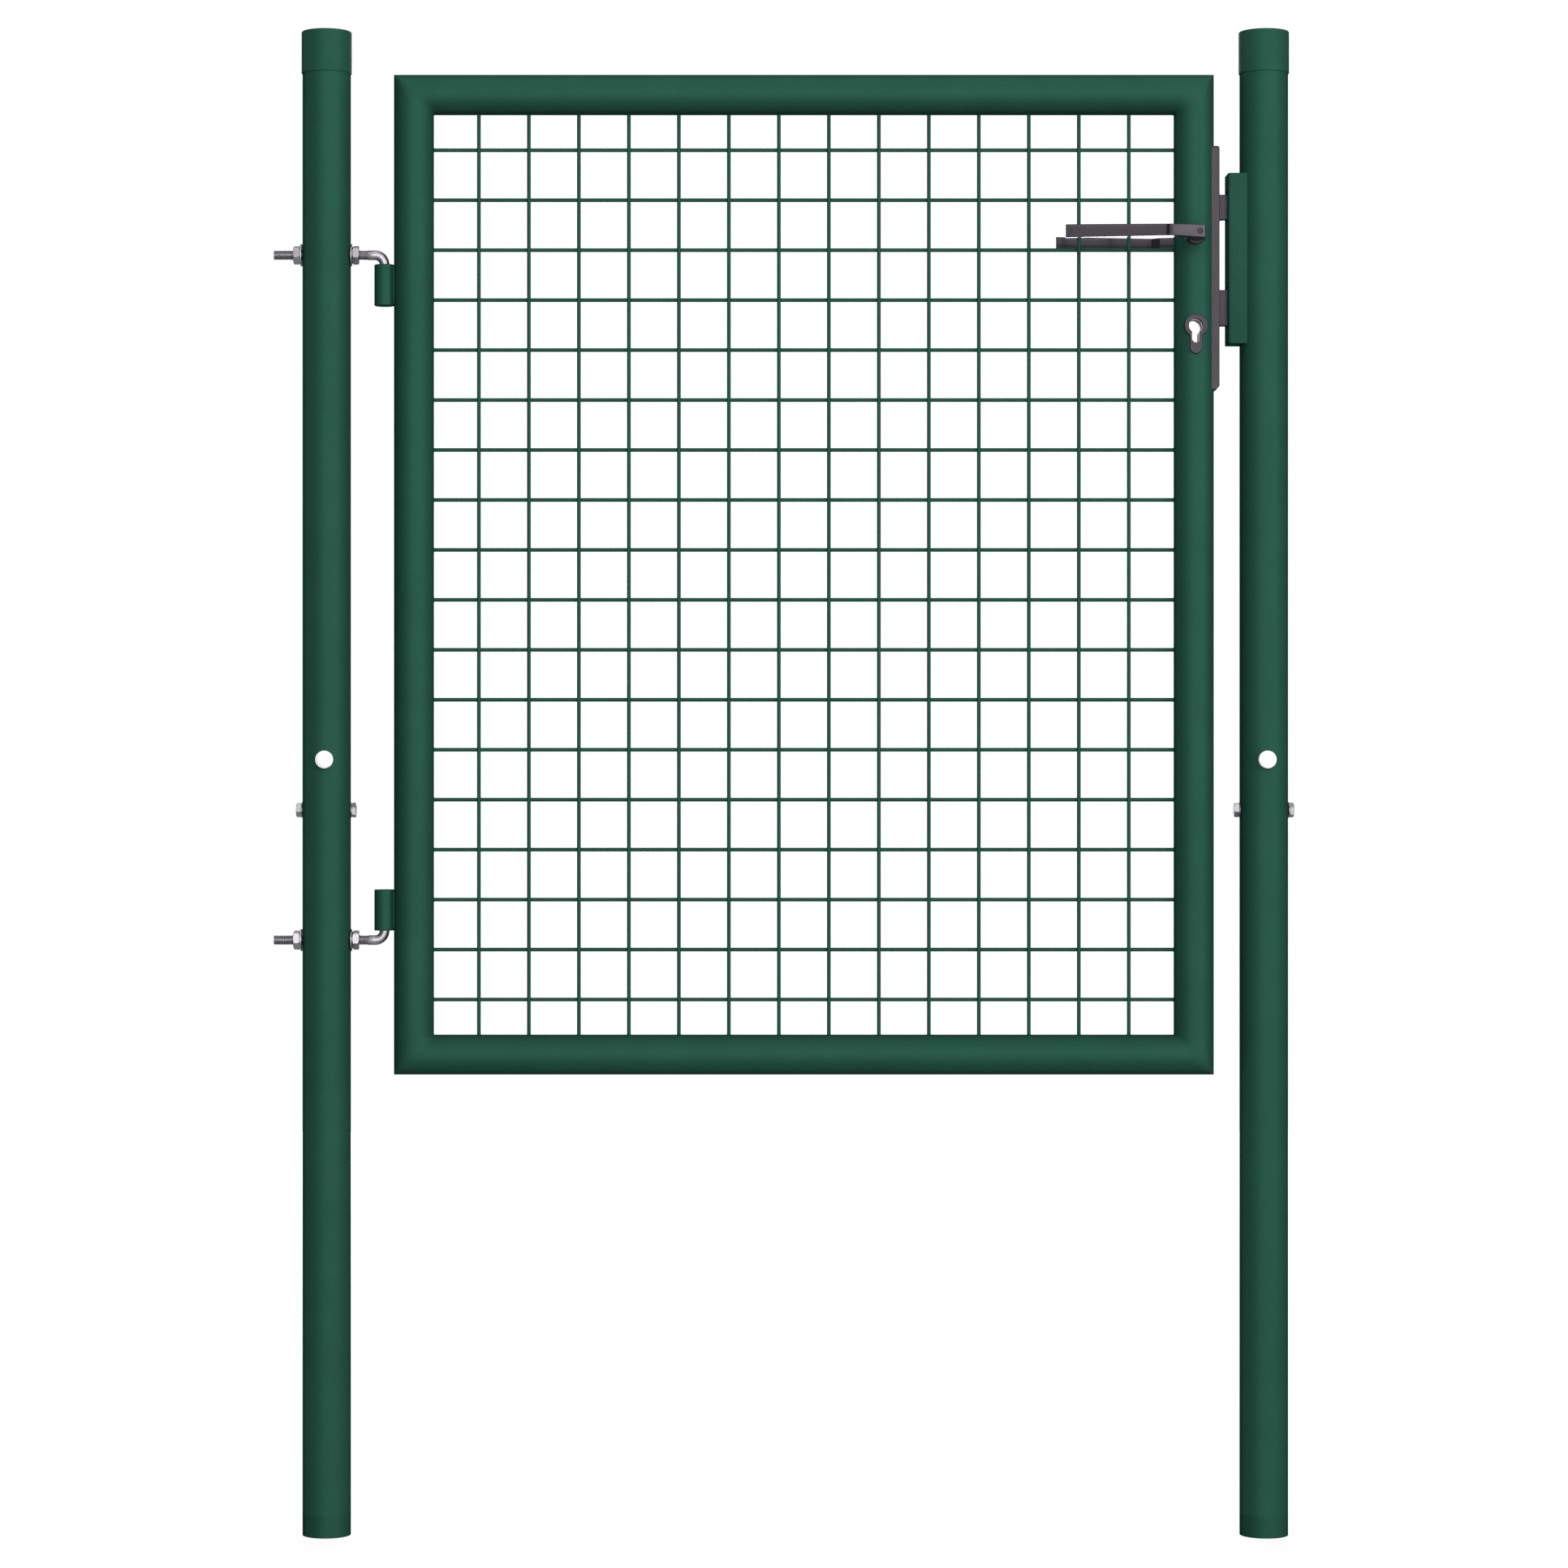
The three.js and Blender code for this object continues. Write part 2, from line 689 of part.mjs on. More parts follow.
function roundedPlate(half0, low, high, corner) {
  return polygon([
    ...arcPoints(half0 - corner, low + corner, corner, -Math.PI / 2, 0, 3),
    ...arcPoints(half0 - corner, high - corner, corner, 0, Math.PI / 2, 3),
    ...arcPoints(corner - half0, high - corner, corner, Math.PI / 2, Math.PI, 3),
    ...arcPoints(corner - half0, low + corner, corner, Math.PI, 3 * Math.PI / 2, 3),
  ]);
}

const plateWeb = PLATE_FACE - PLATE_WEB;
const countersinks = screwHeights.map((z) => place(
  turned([[0, 0], [SCREW_R + HOLE_FIT, 0], [SCREW_HEAD_R + FIT + 1, PLATE_WEB + 1],
    [0, PLATE_WEB + 1]], 16),
  '+x',
  plateWeb,
  0,
  z,
));
const plateBody = prism(
  roundedPlate(PLATE_HALF, PLATE_BOTTOM, PLATE_TOP, PLATE_CORNER),
  'x',
  STILE_X,
  PLATE_FACE,
);
const faceplate = cut(
  plateBody,
  box(
    STILE_X - 1,
    plateWeb,
    PLATE_FLANGE - PLATE_HALF,
    PLATE_HALF - PLATE_FLANGE,
    PLATE_BOTTOM - 1,
    PLATE_TOP + 1,
  ),
  rod('z', STILE_X, 0, FRAME_R + FIT, PLATE_BOTTOM - 1, PLATE_TOP + 1, TUBE_SIDES),
  box(plateWeb - 1, PLATE_FACE + 1, -BOLT_HALF - FIT, BOLT_HALF + FIT, LATCH_LOW - FIT, LATCH_HIGH + FIT),
  box(plateWeb - 1, PLATE_FACE + 1, -BOLT_HALF - FIT, BOLT_HALF + FIT, DEAD_LOW - FIT, DEAD_HIGH + FIT),
  ...screwHoles(SCREW_R + HOLE_FIT),
  ...countersinks,
);
add('lock_faceplate', faceplate, LOCK_STEEL);

screwHeights.forEach((z, i) => {
  const reach = plateWeb - SCREW_TIP_X;
  const screw = turned([
    [0, -reach],
    [SCREW_R, -reach],
    [SCREW_R, FIT],
    [SCREW_HEAD_R, PLATE_WEB - THIN_FIT],
    [0, PLATE_WEB - THIN_FIT],
  ], 16);
  add(`faceplate_screw_${i + 1}`, place(screw, '+x', plateWeb, 0, z), ZINC);
});

// ---- latch bolt, its spring, and the dead bolt ----

const latchHead = prism(polygon([
  [LATCH_BACK, -BOLT_HALF],
  [LATCH_TIP, -BOLT_HALF],
  [LATCH_TIP, LATCH_NOSE - BOLT_HALF],
  [LATCH_TIP - LATCH_BEVEL, BOLT_HALF],
  [LATCH_BACK, BOLT_HALF],
]), 'z', LATCH_LOW, LATCH_HIGH);
const latchTail = box(FINGER_LEFT, LATCH_BACK + 1, -BOLT_HALF, BOLT_HALF, TAIL_LOW, TAIL_HIGH);
const finger = box(
  FINGER_LEFT,
  FINGER_LEFT + FINGER_WIDTH,
  -BOLT_HALF,
  BOLT_HALF,
  FINGER_LOW,
  TAIL_HIGH,
);
const springPocket = rod('x', 0, SPRING_Z, SPRING_POCKET_R, LATCH_BACK - 1, SPRING_POCKET_END, 16);
add('latch_bolt', cut(join(latchHead, latchTail, finger), springPocket), LOCK_STEEL);

class SpringPath extends THREE.Curve {
  getPoint(t, target = new THREE.Vector3()) {
    const low = CASE_LEFT + CASE_WALL + FIT + SPRING_WIRE_R;
    const high = SPRING_POCKET_END - FIT - SPRING_WIRE_R;
    const angle = 2 * Math.PI * SPRING_TURNS * t;
    return target.set(
      low + (high - low) * t,
      SPRING_R * Math.cos(angle),
      SPRING_Z + SPRING_R * Math.sin(angle),
    );
  }
}

const springWire = polygon(circlePoints(0, 0, SPRING_WIRE_R, 4));
const spring = new THREE.ExtrudeGeometry(springWire, {
  steps: SPRING_TURNS * 8,
  bevelEnabled: false,
  extrudePath: new SpringPath(),
});
add('latch_spring', spring, ZINC);

const deadBolt = prism(polygon([
  [DEAD_BACK, DEAD_STEP_Z],
  [DEAD_STEP_X, DEAD_STEP_Z],
  [DEAD_STEP_X, DEAD_LOW],
  [DEAD_TIP, DEAD_LOW],
  [DEAD_TIP, DEAD_HIGH],
  [DEAD_BACK, DEAD_HIGH],
]), 'y', -BOLT_HALF, BOLT_HALF);
add('dead_bolt', deadBolt, LOCK_STEEL);

// ---- follower and spindle ----

const armTip = [
  STILE_X + ARM_REACH * Math.sin(ARM_TILT),
  SPINDLE_Z + ARM_REACH * Math.cos(ARM_TILT),
];
const armSide = [ARM_HALF * Math.cos(ARM_TILT), -ARM_HALF * Math.sin(ARM_TILT)];
const arm = prism(polygon([
  [STILE_X - armSide[0], SPINDLE_Z - armSide[1]],
  [STILE_X + armSide[0], SPINDLE_Z + armSide[1]],
  [armTip[0] + armSide[0], armTip[1] + armSide[1]],
  [armTip[0] - armSide[0], armTip[1] - armSide[1]],
]), 'y', -BOLT_HALF, BOLT_HALF);
const hub = rod('y', STILE_X, SPINDLE_Z, HUB_R, -BOLT_HALF, BOLT_HALF, ROUND_SIDES);
const square = SPINDLE_HALF + FIT;

function squareCut(low, high) {
  return box(STILE_X - square, STILE_X + square, low, high, SPINDLE_Z - square, SPINDLE_Z + square);
}

add('follower', cut(join(hub, arm), squareCut(-BOLT_HALF - 1, BOLT_HALF + 1)), LOCK_STEEL);

const spindle = join(
  box(
    STILE_X - SPINDLE_HALF,
    STILE_X + SPINDLE_HALF,
    FIT - SOCKET_DEPTH_Y,
    SOCKET_DEPTH_Y - FIT,
    SPINDLE_Z - SPINDLE_HALF,
    SPINDLE_Z + SPINDLE_HALF,
  ),
  rod('y', STILE_X, SPINDLE_Z, RIVET_R, -RIVET_REACH, RIVET_REACH),
);
add('spindle', spindle, DARK_METAL);

// ---- levers ----

// Seen from above: a bent grip that runs back to the hub block over the spindle.
function leverOutline() {
  return polygon([
    [HUB_RIGHT_X, HUB_BACK_Y],
    [HUB_RIGHT_X, HUB_FACE_Y - 1],
    [HUB_RIGHT_X - 1, HUB_FACE_Y],
    [BEND_X + 2, BEND_Y - 0.8],
    [BEND_X, BEND_Y],
    [BEND_X - 3, BEND_Y - 0.2],
    [GRIP_END_X + 1, GRIP_END_Y],
    [GRIP_END_X, GRIP_END_Y - 1],
    [GRIP_END_X, GRIP_END_Y - GRIP_THICK],
    [BEND_X - 3, BEND_Y - GRIP_THICK - 0.2],
    [BEND_X + 2, BEND_Y - 2 * GRIP_THICK],
    [HUB_LEFT_X, HUB_BACK_Y + 4],
    [HUB_LEFT_X + 3, HUB_BACK_Y],
  ]);
}

function tallAt(x) {
  if (x < BEND_X) {
    const t = (x - GRIP_END_X) / (BEND_X - GRIP_END_X);
    return GRIP_END_TALL + (BEND_TALL - GRIP_END_TALL) * t;
  }
  const t = (x - BEND_X) / (HUB_RIGHT_X - BEND_X);
  return BEND_TALL + (HUB_TALL - BEND_TALL) * t;
}

function lever(front) {
  const blank = prism(leverOutline(), 'z', -1, 1);
  const position = blank.attributes.position;
  for (let i = 0; i < position.count; i += 1) {
    position.setZ(i, SPINDLE_Z + position.getZ(i) * tallAt(position.getX(i)) / 2);
  }
  const bored = cut(
    blank,
    squareCut(HUB_BACK_Y - 1, SOCKET_DEPTH_Y),
    rod('y', STILE_X, SPINDLE_Z, RIVET_R + FIT, SOCKET_DEPTH_Y - 1, RIVET_REACH + 5),
  );
  if (front) {
    bored.rotateX(Math.PI).translate(0, 0, 2 * SPINDLE_Z);
  }
  return bored;
}

add('lever_front', lever(true), DARK_METAL);
add('lever_back', lever(false), DARK_METAL);

// ---- collars and keyhole plates, front and back ----

function toFront(geometry) {
  return geometry.rotateZ(Math.PI).translate(2 * STILE_X, 0, 0);
}

function collar() {
  const stile = rod('z', STILE_X, 0, FRAME_R + FIT, SPINDLE_Z - 20, SPINDLE_Z + 20, TUBE_SIDES);
  const flange = cut(
    rod('y', STILE_X, SPINDLE_Z, COLLAR_R, FRAME_R - 5, COLLAR_FRONT, ROUND_SIDES),
    stile,
  );
  const neck = rod('y', STILE_X, SPINDLE_Z, COLLAR_NECK_R, COLLAR_NECK_Y, FRAME_R + 2, ROUND_SIDES);
  const bore = rod('y', STILE_X, SPINDLE_Z, COLLAR_BORE_R, 0, COLLAR_FRONT + 1, 16);
  return cut(join(flange, neck), bore);
}

function keyPlate(opening) {
  const stile = rod('z', STILE_X, 0, FRAME_R + FIT, KEY_Z - 40, KEY_Z + 40, TUBE_SIDES);
  const outline = keyhole(KEY_PLATE_R, KEY_PLATE_TAIL_HALF, KEY_PLATE_LOW, 0);
  return cut(
    prism(outline, 'y', FRAME_R - 7, KEY_PLATE_Y),
    stile,
    keyCut(opening, 0, KEY_PLATE_Y + 1),
  );
}

add('lever_collar_front', toFront(collar()), LOCK_STEEL);
add('lever_collar_back', collar(), LOCK_STEEL);
add('key_plate_front', toFront(keyPlate(0)), LOCK_STEEL);
add('key_plate_back', keyPlate(KEY_BACK_MARGIN), LOCK_STEEL);

// ---- strike channel on the latch post ----

const strikeEnd = LATCH_POST_X - POST_R + STRIKE_HALF / 2;
const strikeBlank = prism(polygon([
  ...arcPoints(STRIKE_X + STRIKE_BEND, -STRIKE_HALF + STRIKE_BEND, STRIKE_BEND, -Math.PI / 2, -Math.PI, 3),
  ...arcPoints(STRIKE_X + STRIKE_BEND, STRIKE_HALF - STRIKE_BEND, STRIKE_BEND, Math.PI, Math.PI / 2, 3),
  [strikeEnd, STRIKE_HALF],
  [strikeEnd, STRIKE_HALF - STRIKE_WALL],
  [STRIKE_X + STRIKE_WALL, STRIKE_HALF - STRIKE_WALL],
  [STRIKE_X + STRIKE_WALL, STRIKE_WALL - STRIKE_HALF],
  [strikeEnd, STRIKE_WALL - STRIKE_HALF],
  [strikeEnd, -STRIKE_HALF],
]), 'z', STRIKE_BOTTOM, STRIKE_TOP);

function strikeSlot(low, high) {
  return box(
    STRIKE_X - 1,
    STRIKE_X + STRIKE_WALL + 1,
    -STRIKE_SLOT_HALF,
    STRIKE_SLOT_HALF,
    low - STRIKE_SLOT_MARGIN,
    high + STRIKE_SLOT_MARGIN,
  );
}

const strike = cut(
  strikeBlank,
  rod('z', LATCH_POST_X, 0, POST_R + FIT, STRIKE_BOTTOM - 1, STRIKE_TOP + 1, TUBE_SIDES),
  strikeSlot(LATCH_LOW, LATCH_HIGH),
  strikeSlot(DEAD_LOW, DEAD_HIGH),
);
add('strike_channel', strike, GREEN);

export default gate;
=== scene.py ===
import math

import bmesh
import bpy
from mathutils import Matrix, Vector


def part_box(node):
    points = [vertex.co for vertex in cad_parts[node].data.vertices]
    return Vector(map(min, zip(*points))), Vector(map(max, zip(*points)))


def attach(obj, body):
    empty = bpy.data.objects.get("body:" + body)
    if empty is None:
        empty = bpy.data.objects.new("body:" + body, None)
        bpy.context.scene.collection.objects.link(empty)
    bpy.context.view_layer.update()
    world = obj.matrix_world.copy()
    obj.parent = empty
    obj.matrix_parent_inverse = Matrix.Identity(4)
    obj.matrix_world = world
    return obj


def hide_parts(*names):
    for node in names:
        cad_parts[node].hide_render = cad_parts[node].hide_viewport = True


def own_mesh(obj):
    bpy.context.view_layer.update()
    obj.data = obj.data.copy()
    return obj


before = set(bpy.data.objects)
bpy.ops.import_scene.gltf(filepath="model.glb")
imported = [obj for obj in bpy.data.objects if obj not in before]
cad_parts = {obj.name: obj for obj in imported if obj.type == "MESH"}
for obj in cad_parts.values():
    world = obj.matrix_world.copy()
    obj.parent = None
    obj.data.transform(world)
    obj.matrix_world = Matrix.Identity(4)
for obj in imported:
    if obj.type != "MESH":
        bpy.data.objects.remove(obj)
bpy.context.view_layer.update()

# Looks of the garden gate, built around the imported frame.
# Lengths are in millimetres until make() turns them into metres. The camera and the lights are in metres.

MM = 0.001
TAU = 2 * math.pi
TUBE_SIDES = 128
ROUND_SIDES = 64
SMOOTH_ANGLE = math.radians(32)

# ---------------------------------------------------------------- materials

GREEN = (0.0158, 0.0650, 0.0436)
# A darker copy of GREEN for the strike plate: painted shade, standing in for the shade on the strike's web.
SHADED_PLATE_GREEN = (0.0150, 0.0590, 0.0405)
ZINC = (0.275, 0.265, 0.285)
LOCK_STEEL = (0.046, 0.0405, 0.046)
LEVER_METAL = (0.0200, 0.0178, 0.0205)
WHITE = (0.86, 0.855, 0.85)
GALVANISED = (0.24, 0.245, 0.25)

# A noise texture's values lie mostly between these two.
NOISE_LOW = 0.3
NOISE_HIGH = 0.7

# Bump: the broad wave is this many times deeper than the grain.
WAVE_TO_GRAIN = 3
WAVE_STRENGTH = 0.35
GRAIN_STRENGTH = 0.6


def node(tree, kind, **values):
    """A new node; a value goes to the socket of that name, or to the node's own property."""
    made = tree.nodes.new(kind)
    for key, value in values.items():
        socket = key.replace("_", " ")
        if socket in made.inputs:
            made.inputs[socket].default_value = value
        else:
            setattr(made, key, value)
    return made


def ramp(tree, source, low, high):
    """Blends two colours by a noise factor."""
    made = tree.nodes.new("ShaderNodeValToRGB")
    made.color_ramp.elements[0].position = NOISE_LOW
    made.color_ramp.elements[1].position = NOISE_HIGH
    made.color_ramp.elements[0].color = (*low, 1)
    made.color_ramp.elements[1].color = (*high, 1)
    tree.links.new(source, made.inputs["Fac"])
    return made.outputs["Color"]


def surface(name, colour, spread, mottle, rough, metal, grain, depth,
            stretch=(1, 1, 1), specular=0.5, edge=1.0, tint=(1, 1, 1)):
    """A procedural surface: colour mottle, uneven gloss, and a fine grain with a broader unevenness as bump.

    spread is how far the mottle goes to each side of the colour. mottle and grain are in features per metre.
    rough is (least, most). depth is the grain's height in mm, and stretch scales the grain along X, Y and Z.
    edge is how much a metal still reflects where it is seen almost edge on, and tint is the colour of that.
    """
    material = bpy.data.materials.new(name)
    material.use_nodes = True
    tree = material.node_tree
    shader = tree.nodes["Principled BSDF"]
    shader.inputs["Metallic"].default_value = metal
    shader.inputs["Specular IOR Level"].default_value = specular
    shader.inputs["Specular Tint"].default_value = (*(edge * c for c in tint), 1)
    place = node(tree, "ShaderNodeTexCoord")
    mapping = node(tree, "ShaderNodeMapping")
    mapping.inputs["Scale"].default_value = stretch
    tree.links.new(place.outputs["Object"], mapping.inputs["Vector"])

    broad = node(tree, "ShaderNodeTexNoise", Scale=mottle, Detail=4.0, Roughness=0.55)
    tree.links.new(place.outputs["Object"], broad.inputs["Vector"])
    low = tuple(c * (1 - spread) for c in colour)
    high = tuple(min(1.0, c * (1 + spread)) for c in colour)
    tree.links.new(ramp(tree, broad.outputs["Fac"], low, high), shader.inputs["Base Color"])

    fine = node(tree, "ShaderNodeTexNoise", Scale=grain, Detail=3.0, Roughness=0.6)
    tree.links.new(mapping.outputs["Vector"], fine.inputs["Vector"])
    gloss = node(
        tree, "ShaderNodeMapRange", From_Min=NOISE_LOW, From_Max=NOISE_HIGH, To_Min=rough[0], To_Max=rough[1])
    tree.links.new(fine.outputs["Fac"], gloss.inputs["Value"])
    tree.links.new(gloss.outputs["Result"], shader.inputs["Roughness"])

    wave = node(tree, "ShaderNodeBump", Strength=WAVE_STRENGTH, Distance=depth * WAVE_TO_GRAIN * MM)
    tree.links.new(broad.outputs["Fac"], wave.inputs["Height"])
    bump = node(tree, "ShaderNodeBump", Strength=GRAIN_STRENGTH, Distance=depth * MM)
    tree.links.new(fine.outputs["Fac"], bump.inputs["Height"])
    tree.links.new(wave.outputs["Normal"], bump.inputs["Normal"])
    tree.links.new(bump.outputs["Normal"], shader.inputs["Normal"])
    return material


FINISHES = {
    "green_coat": dict(
        colour=GREEN, spread=0.045, mottle=26, rough=(0.48, 0.58), metal=0.3, grain=520, depth=0.03,
        specular=0.0, edge=0.10),
    "green_plastic": dict(
        colour=GREEN, spread=0.03, mottle=60, rough=(0.50, 0.60), metal=0.25, grain=1500, depth=0.02,
        specular=0.03, edge=0.10),
    # The strike plate's green, darker than the coat: painted shade for its shaded web.
    "green_plate_painted_shade": dict(
        colour=SHADED_PLATE_GREEN, spread=0.05, mottle=40, rough=(0.50, 0.60), metal=0.15, grain=700, depth=0.03,
        specular=0.0, edge=0.0),
    "zinc_steel": dict(
        colour=ZINC, spread=0.10, mottle=160, rough=(0.30, 0.44), metal=1.0, grain=900, depth=0.02, edge=0.6),
    "lock_steel": dict(
        colour=LOCK_STEEL, spread=0.07, mottle=90, rough=(0.34, 0.46), metal=0.55, grain=260, depth=0.012,
        stretch=(9, 9, 1), specular=0.0, edge=0.15),
    "lever_metal": dict(
        colour=LEVER_METAL, spread=0.08, mottle=110, rough=(0.16, 0.24), metal=0.1, grain=240, depth=0.006,
        stretch=(1, 8, 8), specular=0.176, tint=(1.0, 0.90, 1.03)),
    "white_plastic": dict(
        colour=WHITE, spread=0.02, mottle=120, rough=(0.30, 0.40), metal=0.0, grain=1400, depth=0.01),
    "galvanised": dict(
        colour=GALVANISED, spread=0.16, mottle=70, rough=(0.38, 0.55), metal=1.0, grain=420, depth=0.03),
}
LOOKS = {look: surface(look, **finish) for look, finish in FINISHES.items()}

# ---------------------------------------------------------------- mesh tools


def shade(mesh):
    mesh.polygons.foreach_set("use_smooth", [True] * len(mesh.polygons))
    mesh.set_sharp_from_angle(angle=SMOOTH_ANGLE)
    mesh.update()


def make(name, *bodies):
    """One object from closed bodies, each (vertices in mm, faces)."""
    vertices, faces = [], []
    for points, sides in bodies:
        start = len(vertices)
        vertices += [tuple(c * MM for c in p) for p in points]
        faces += [tuple(start + i for i in side) for side in sides]
    mesh = bpy.data.meshes.new(name)
    mesh.from_pydata(vertices, [], faces)
    work = bmesh.new()
    work.from_mesh(mesh)
    bmesh.ops.recalc_face_normals(work, faces=work.faces)
    work.to_mesh(mesh)
    work.free()
    made = bpy.data.objects.new(name, mesh)
    bpy.context.scene.collection.objects.link(made)
    return made


def apply(made):
    depsgraph = bpy.context.evaluated_depsgraph_get()
    mesh = bpy.data.meshes.new_from_object(made.evaluated_get(depsgraph))
    made.modifiers.clear()
    made.data = mesh


def combine(made, operation, others):
    """Combines made with each of the others in turn, and uses them up."""
    for other in others:
        step = made.modifiers.new("combine", "BOOLEAN")
        step.operation = operation
        step.solver = "EXACT"
        step.object = other
        apply(made)
        bpy.data.objects.remove(other)
    return made


def carve(made, *cutters):
    return combine(made, "DIFFERENCE", cutters)


def join(made, *extras):
    return combine(made, "UNION", extras)


def soften(made, width, segments, angle):
    """Rounds the edges that turn by more than angle, in degrees."""
    step = made.modifiers.new("soften", "BEVEL")
    step.width = width * MM
    step.segments = segments
    step.limit_method = "ANGLE"
    step.angle_limit = math.radians(angle)
    step.use_clamp_overlap = True
    apply(made)
    return made


def keep(made, body, look, slot, *nodes):
    """Gives a piece its look, the CAD body that it rides and the nodes that it replaces. slot is not used."""
    made.data.materials.clear()
    made.data.materials.append(LOOKS[look])
    shade(made.data)
    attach(made, body)
    if nodes:
        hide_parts(*nodes)
    return made


def corners(name):
    low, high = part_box(name)
    return low / MM, high / MM


def middle(name):
    low, high = corners(name)
    return (low + high) / 2


# Where a body's own X, Y and Z go when its Z is turned to each axis.
FRAMES = {
    "+x": (Vector((0, 0, 1)), Vector((0, -1, 0)), Vector((1, 0, 0))),
    "-x": (Vector((0, 0, 1)), Vector((0, 1, 0)), Vector((-1, 0, 0))),
    "+y": (Vector((1, 0, 0)), Vector((0, 0, -1)), Vector((0, 1, 0))),
    "-y": (Vector((1, 0, 0)), Vector((0, 0, 1)), Vector((0, -1, 0))),
    "+z": (Vector((1, 0, 0)), Vector((0, 1, 0)), Vector((0, 0, 1))),
}


def put(body, axis, origin):
    """Turns a body made about +Z so that +Z points along axis, and moves it to origin."""
    u, v, w = FRAMES[axis]
    base = Vector(origin)
    return [tuple(base + u * x + v * y + w * z) for x, y, z in body[0]], body[1]


def skin(rings, loop_ends=False):
    """Faces between neighbouring rings of equal size. A single point closes an end; loop_ends joins both."""
    vertices, faces, starts = [], [], []
    for ring in rings:
        starts.append((len(vertices), len(ring)))
        vertices += ring
    pairs = list(zip(starts, starts[1:]))
    if loop_ends:
        pairs.append((starts[-1], starts[0]))
    for (a, na), (b, nb) in pairs:
        count = max(na, nb)
        for i in range(count):
            j = (i + 1) % count
            if na == 1:
                faces.append((a, b + j, b + i))
            elif nb == 1:
                faces.append((a + i, a + j, b))
            else:
                faces.append((a + i, a + j, b + j, b + i))
    return vertices, faces


def lathe(profile, sides=ROUND_SIDES, closed=False):
    """Turns (radius, height) points about +Z, from axis to axis or as a closed ring."""
    rings = []
    for radius, height in profile:
        if radius == 0:
            rings.append([(0, 0, height)])
        else:
            rings.append([
                (radius * math.cos(TAU * i / sides), radius * math.sin(TAU * i / sides), height)
                for i in range(sides)
            ])
    return skin(rings, closed)


def arc(x, y, radius, start, end, steps):
    """Points on an arc, angles in degrees."""
    points = []
    for i in range(steps + 1):
        angle = math.radians(start + (end - start) * i / steps)
        points.append((x + radius * math.cos(angle), y + radius * math.sin(angle)))
    return points


def tube(outer, inner, low, high, chamfer, stations=(), sides=TUBE_SIDES):
    """A closed tube about +Z; stations are extra rings that keep later cuts local."""
    levels = sorted(s for s in stations if low + 1 < s < high - 1)
    profile = [(inner, low), (outer - chamfer, low), (outer, low + chamfer)]
    profile += [(outer, s) for s in levels]
    profile += [(outer, high - chamfer), (outer - chamfer, high), (inner, high)]
    profile += [(inner, s) for s in reversed(levels)]
    return lathe(profile, sides, closed=True)


WASHER_EDGE = 0.35


def washer(outer, bore, thick):
    """A washer from height 0 up, its outer edges more rounded than those of its bore."""
    edge = min(WASHER_EDGE, thick * 0.3)
    return lathe([
        (bore, 0.1), (bore + 0.15, 0), (outer - edge, 0), (outer, edge), (outer, thick - edge),
        (outer - edge, thick), (bore + 0.15, thick), (bore, thick - 0.1),
    ], ROUND_SIDES, closed=True)


HEX_POINTS = 6 * 8
CHAMFER_SLOPE = math.tan(math.radians(30))
NUT_CROWN = 0.96
NUT_SINK = 0.6
HEAD_CROWN = 0.95
HEAD_DISH = 0.25


def hexagon_ring(flats, limit, height, drop, turn):
    """A ring on the hexagon, lowered by drop for each mm that it stands out past the limit circle."""
    ring = []
    for i in range(HEX_POINTS):
        angle = TAU * i / HEX_POINTS
        radius = flats / 2 / math.cos((angle % (TAU / 6)) - TAU / 12)
        level = height - drop * (radius - limit)
        ring.append((radius * math.cos(angle + turn), radius * math.sin(angle + turn), level))
    return ring


def circle_ring(radius, height, turn):
    angles = [TAU * i / HEX_POINTS + turn for i in range(HEX_POINTS)]
    return [(radius * math.cos(a), radius * math.sin(a), height) for a in angles]


def nut(flats, bore, thick, turn):
    """A hex nut from height 0 up, chamfered on both faces, with a countersunk bore, turned about its axis."""
    limit = flats / 2 * NUT_CROWN
    turn = math.radians(turn)
    rings = [
        circle_ring(bore, NUT_SINK, turn),
        circle_ring(bore + NUT_SINK, 0, turn),
        circle_ring(limit, 0, turn),
        hexagon_ring(flats, limit, 0, -CHAMFER_SLOPE, turn),
        hexagon_ring(flats, limit, thick, CHAMFER_SLOPE, turn),
        circle_ring(limit, thick, turn),
        circle_ring(bore + NUT_SINK, thick, turn),
        circle_ring(bore, thick - NUT_SINK, turn),
    ]
    return skin(rings, loop_ends=True)


def bolt_head(flats, thick, turn):
    """A hex head from height 0 up, chamfered on its outer face, with a shallow dished top."""
    limit = flats / 2 * HEAD_CROWN
    turn = math.radians(turn)
    return skin([
        [(0, 0, 0)],
        circle_ring(limit, 0, turn),
        hexagon_ring(flats, limit, HEAD_DISH, 0, turn),
        hexagon_ring(flats, limit, thick, CHAMFER_SLOPE, turn),
        circle_ring(limit, thick, turn),
        circle_ring(limit * 0.72, thick, turn),
        circle_ring(limit * 0.66, thick - HEAD_DISH, turn),
        [(0, 0, thick - HEAD_DISH)],
    ])


THREAD_DEPTH = 0.58
THREAD_CREST = 1.25
THREAD_RINGS = 6


def screw_thread(radius, pitch, low, high, sides=32):
    """A threaded rod about +Z with one flat-topped helical ridge, its two ends chamfered."""
    depth = THREAD_DEPTH * pitch
    steps = max(8, round((high - low) / pitch * THREAD_RINGS))
    rings = [[(0, 0, low)]]
    for s in range(steps + 1):
        z = low + (high - low) * s / steps
        end = min(z - low, high - z)
        limit = radius - depth + min(depth, end)
        ring = []
        for i in range(sides):
            turn = (z / pitch - i / sides) % 1
            ridge = 1 - abs(2 * turn - 1)
            r = min(limit, radius - depth + depth * min(1, ridge * THREAD_CREST))
            ring.append((r * math.cos(TAU * i / sides), r * math.sin(TAU * i / sides), z))
        rings.append(ring)
    rings.append([(0, 0, high)])
    return skin(rings)


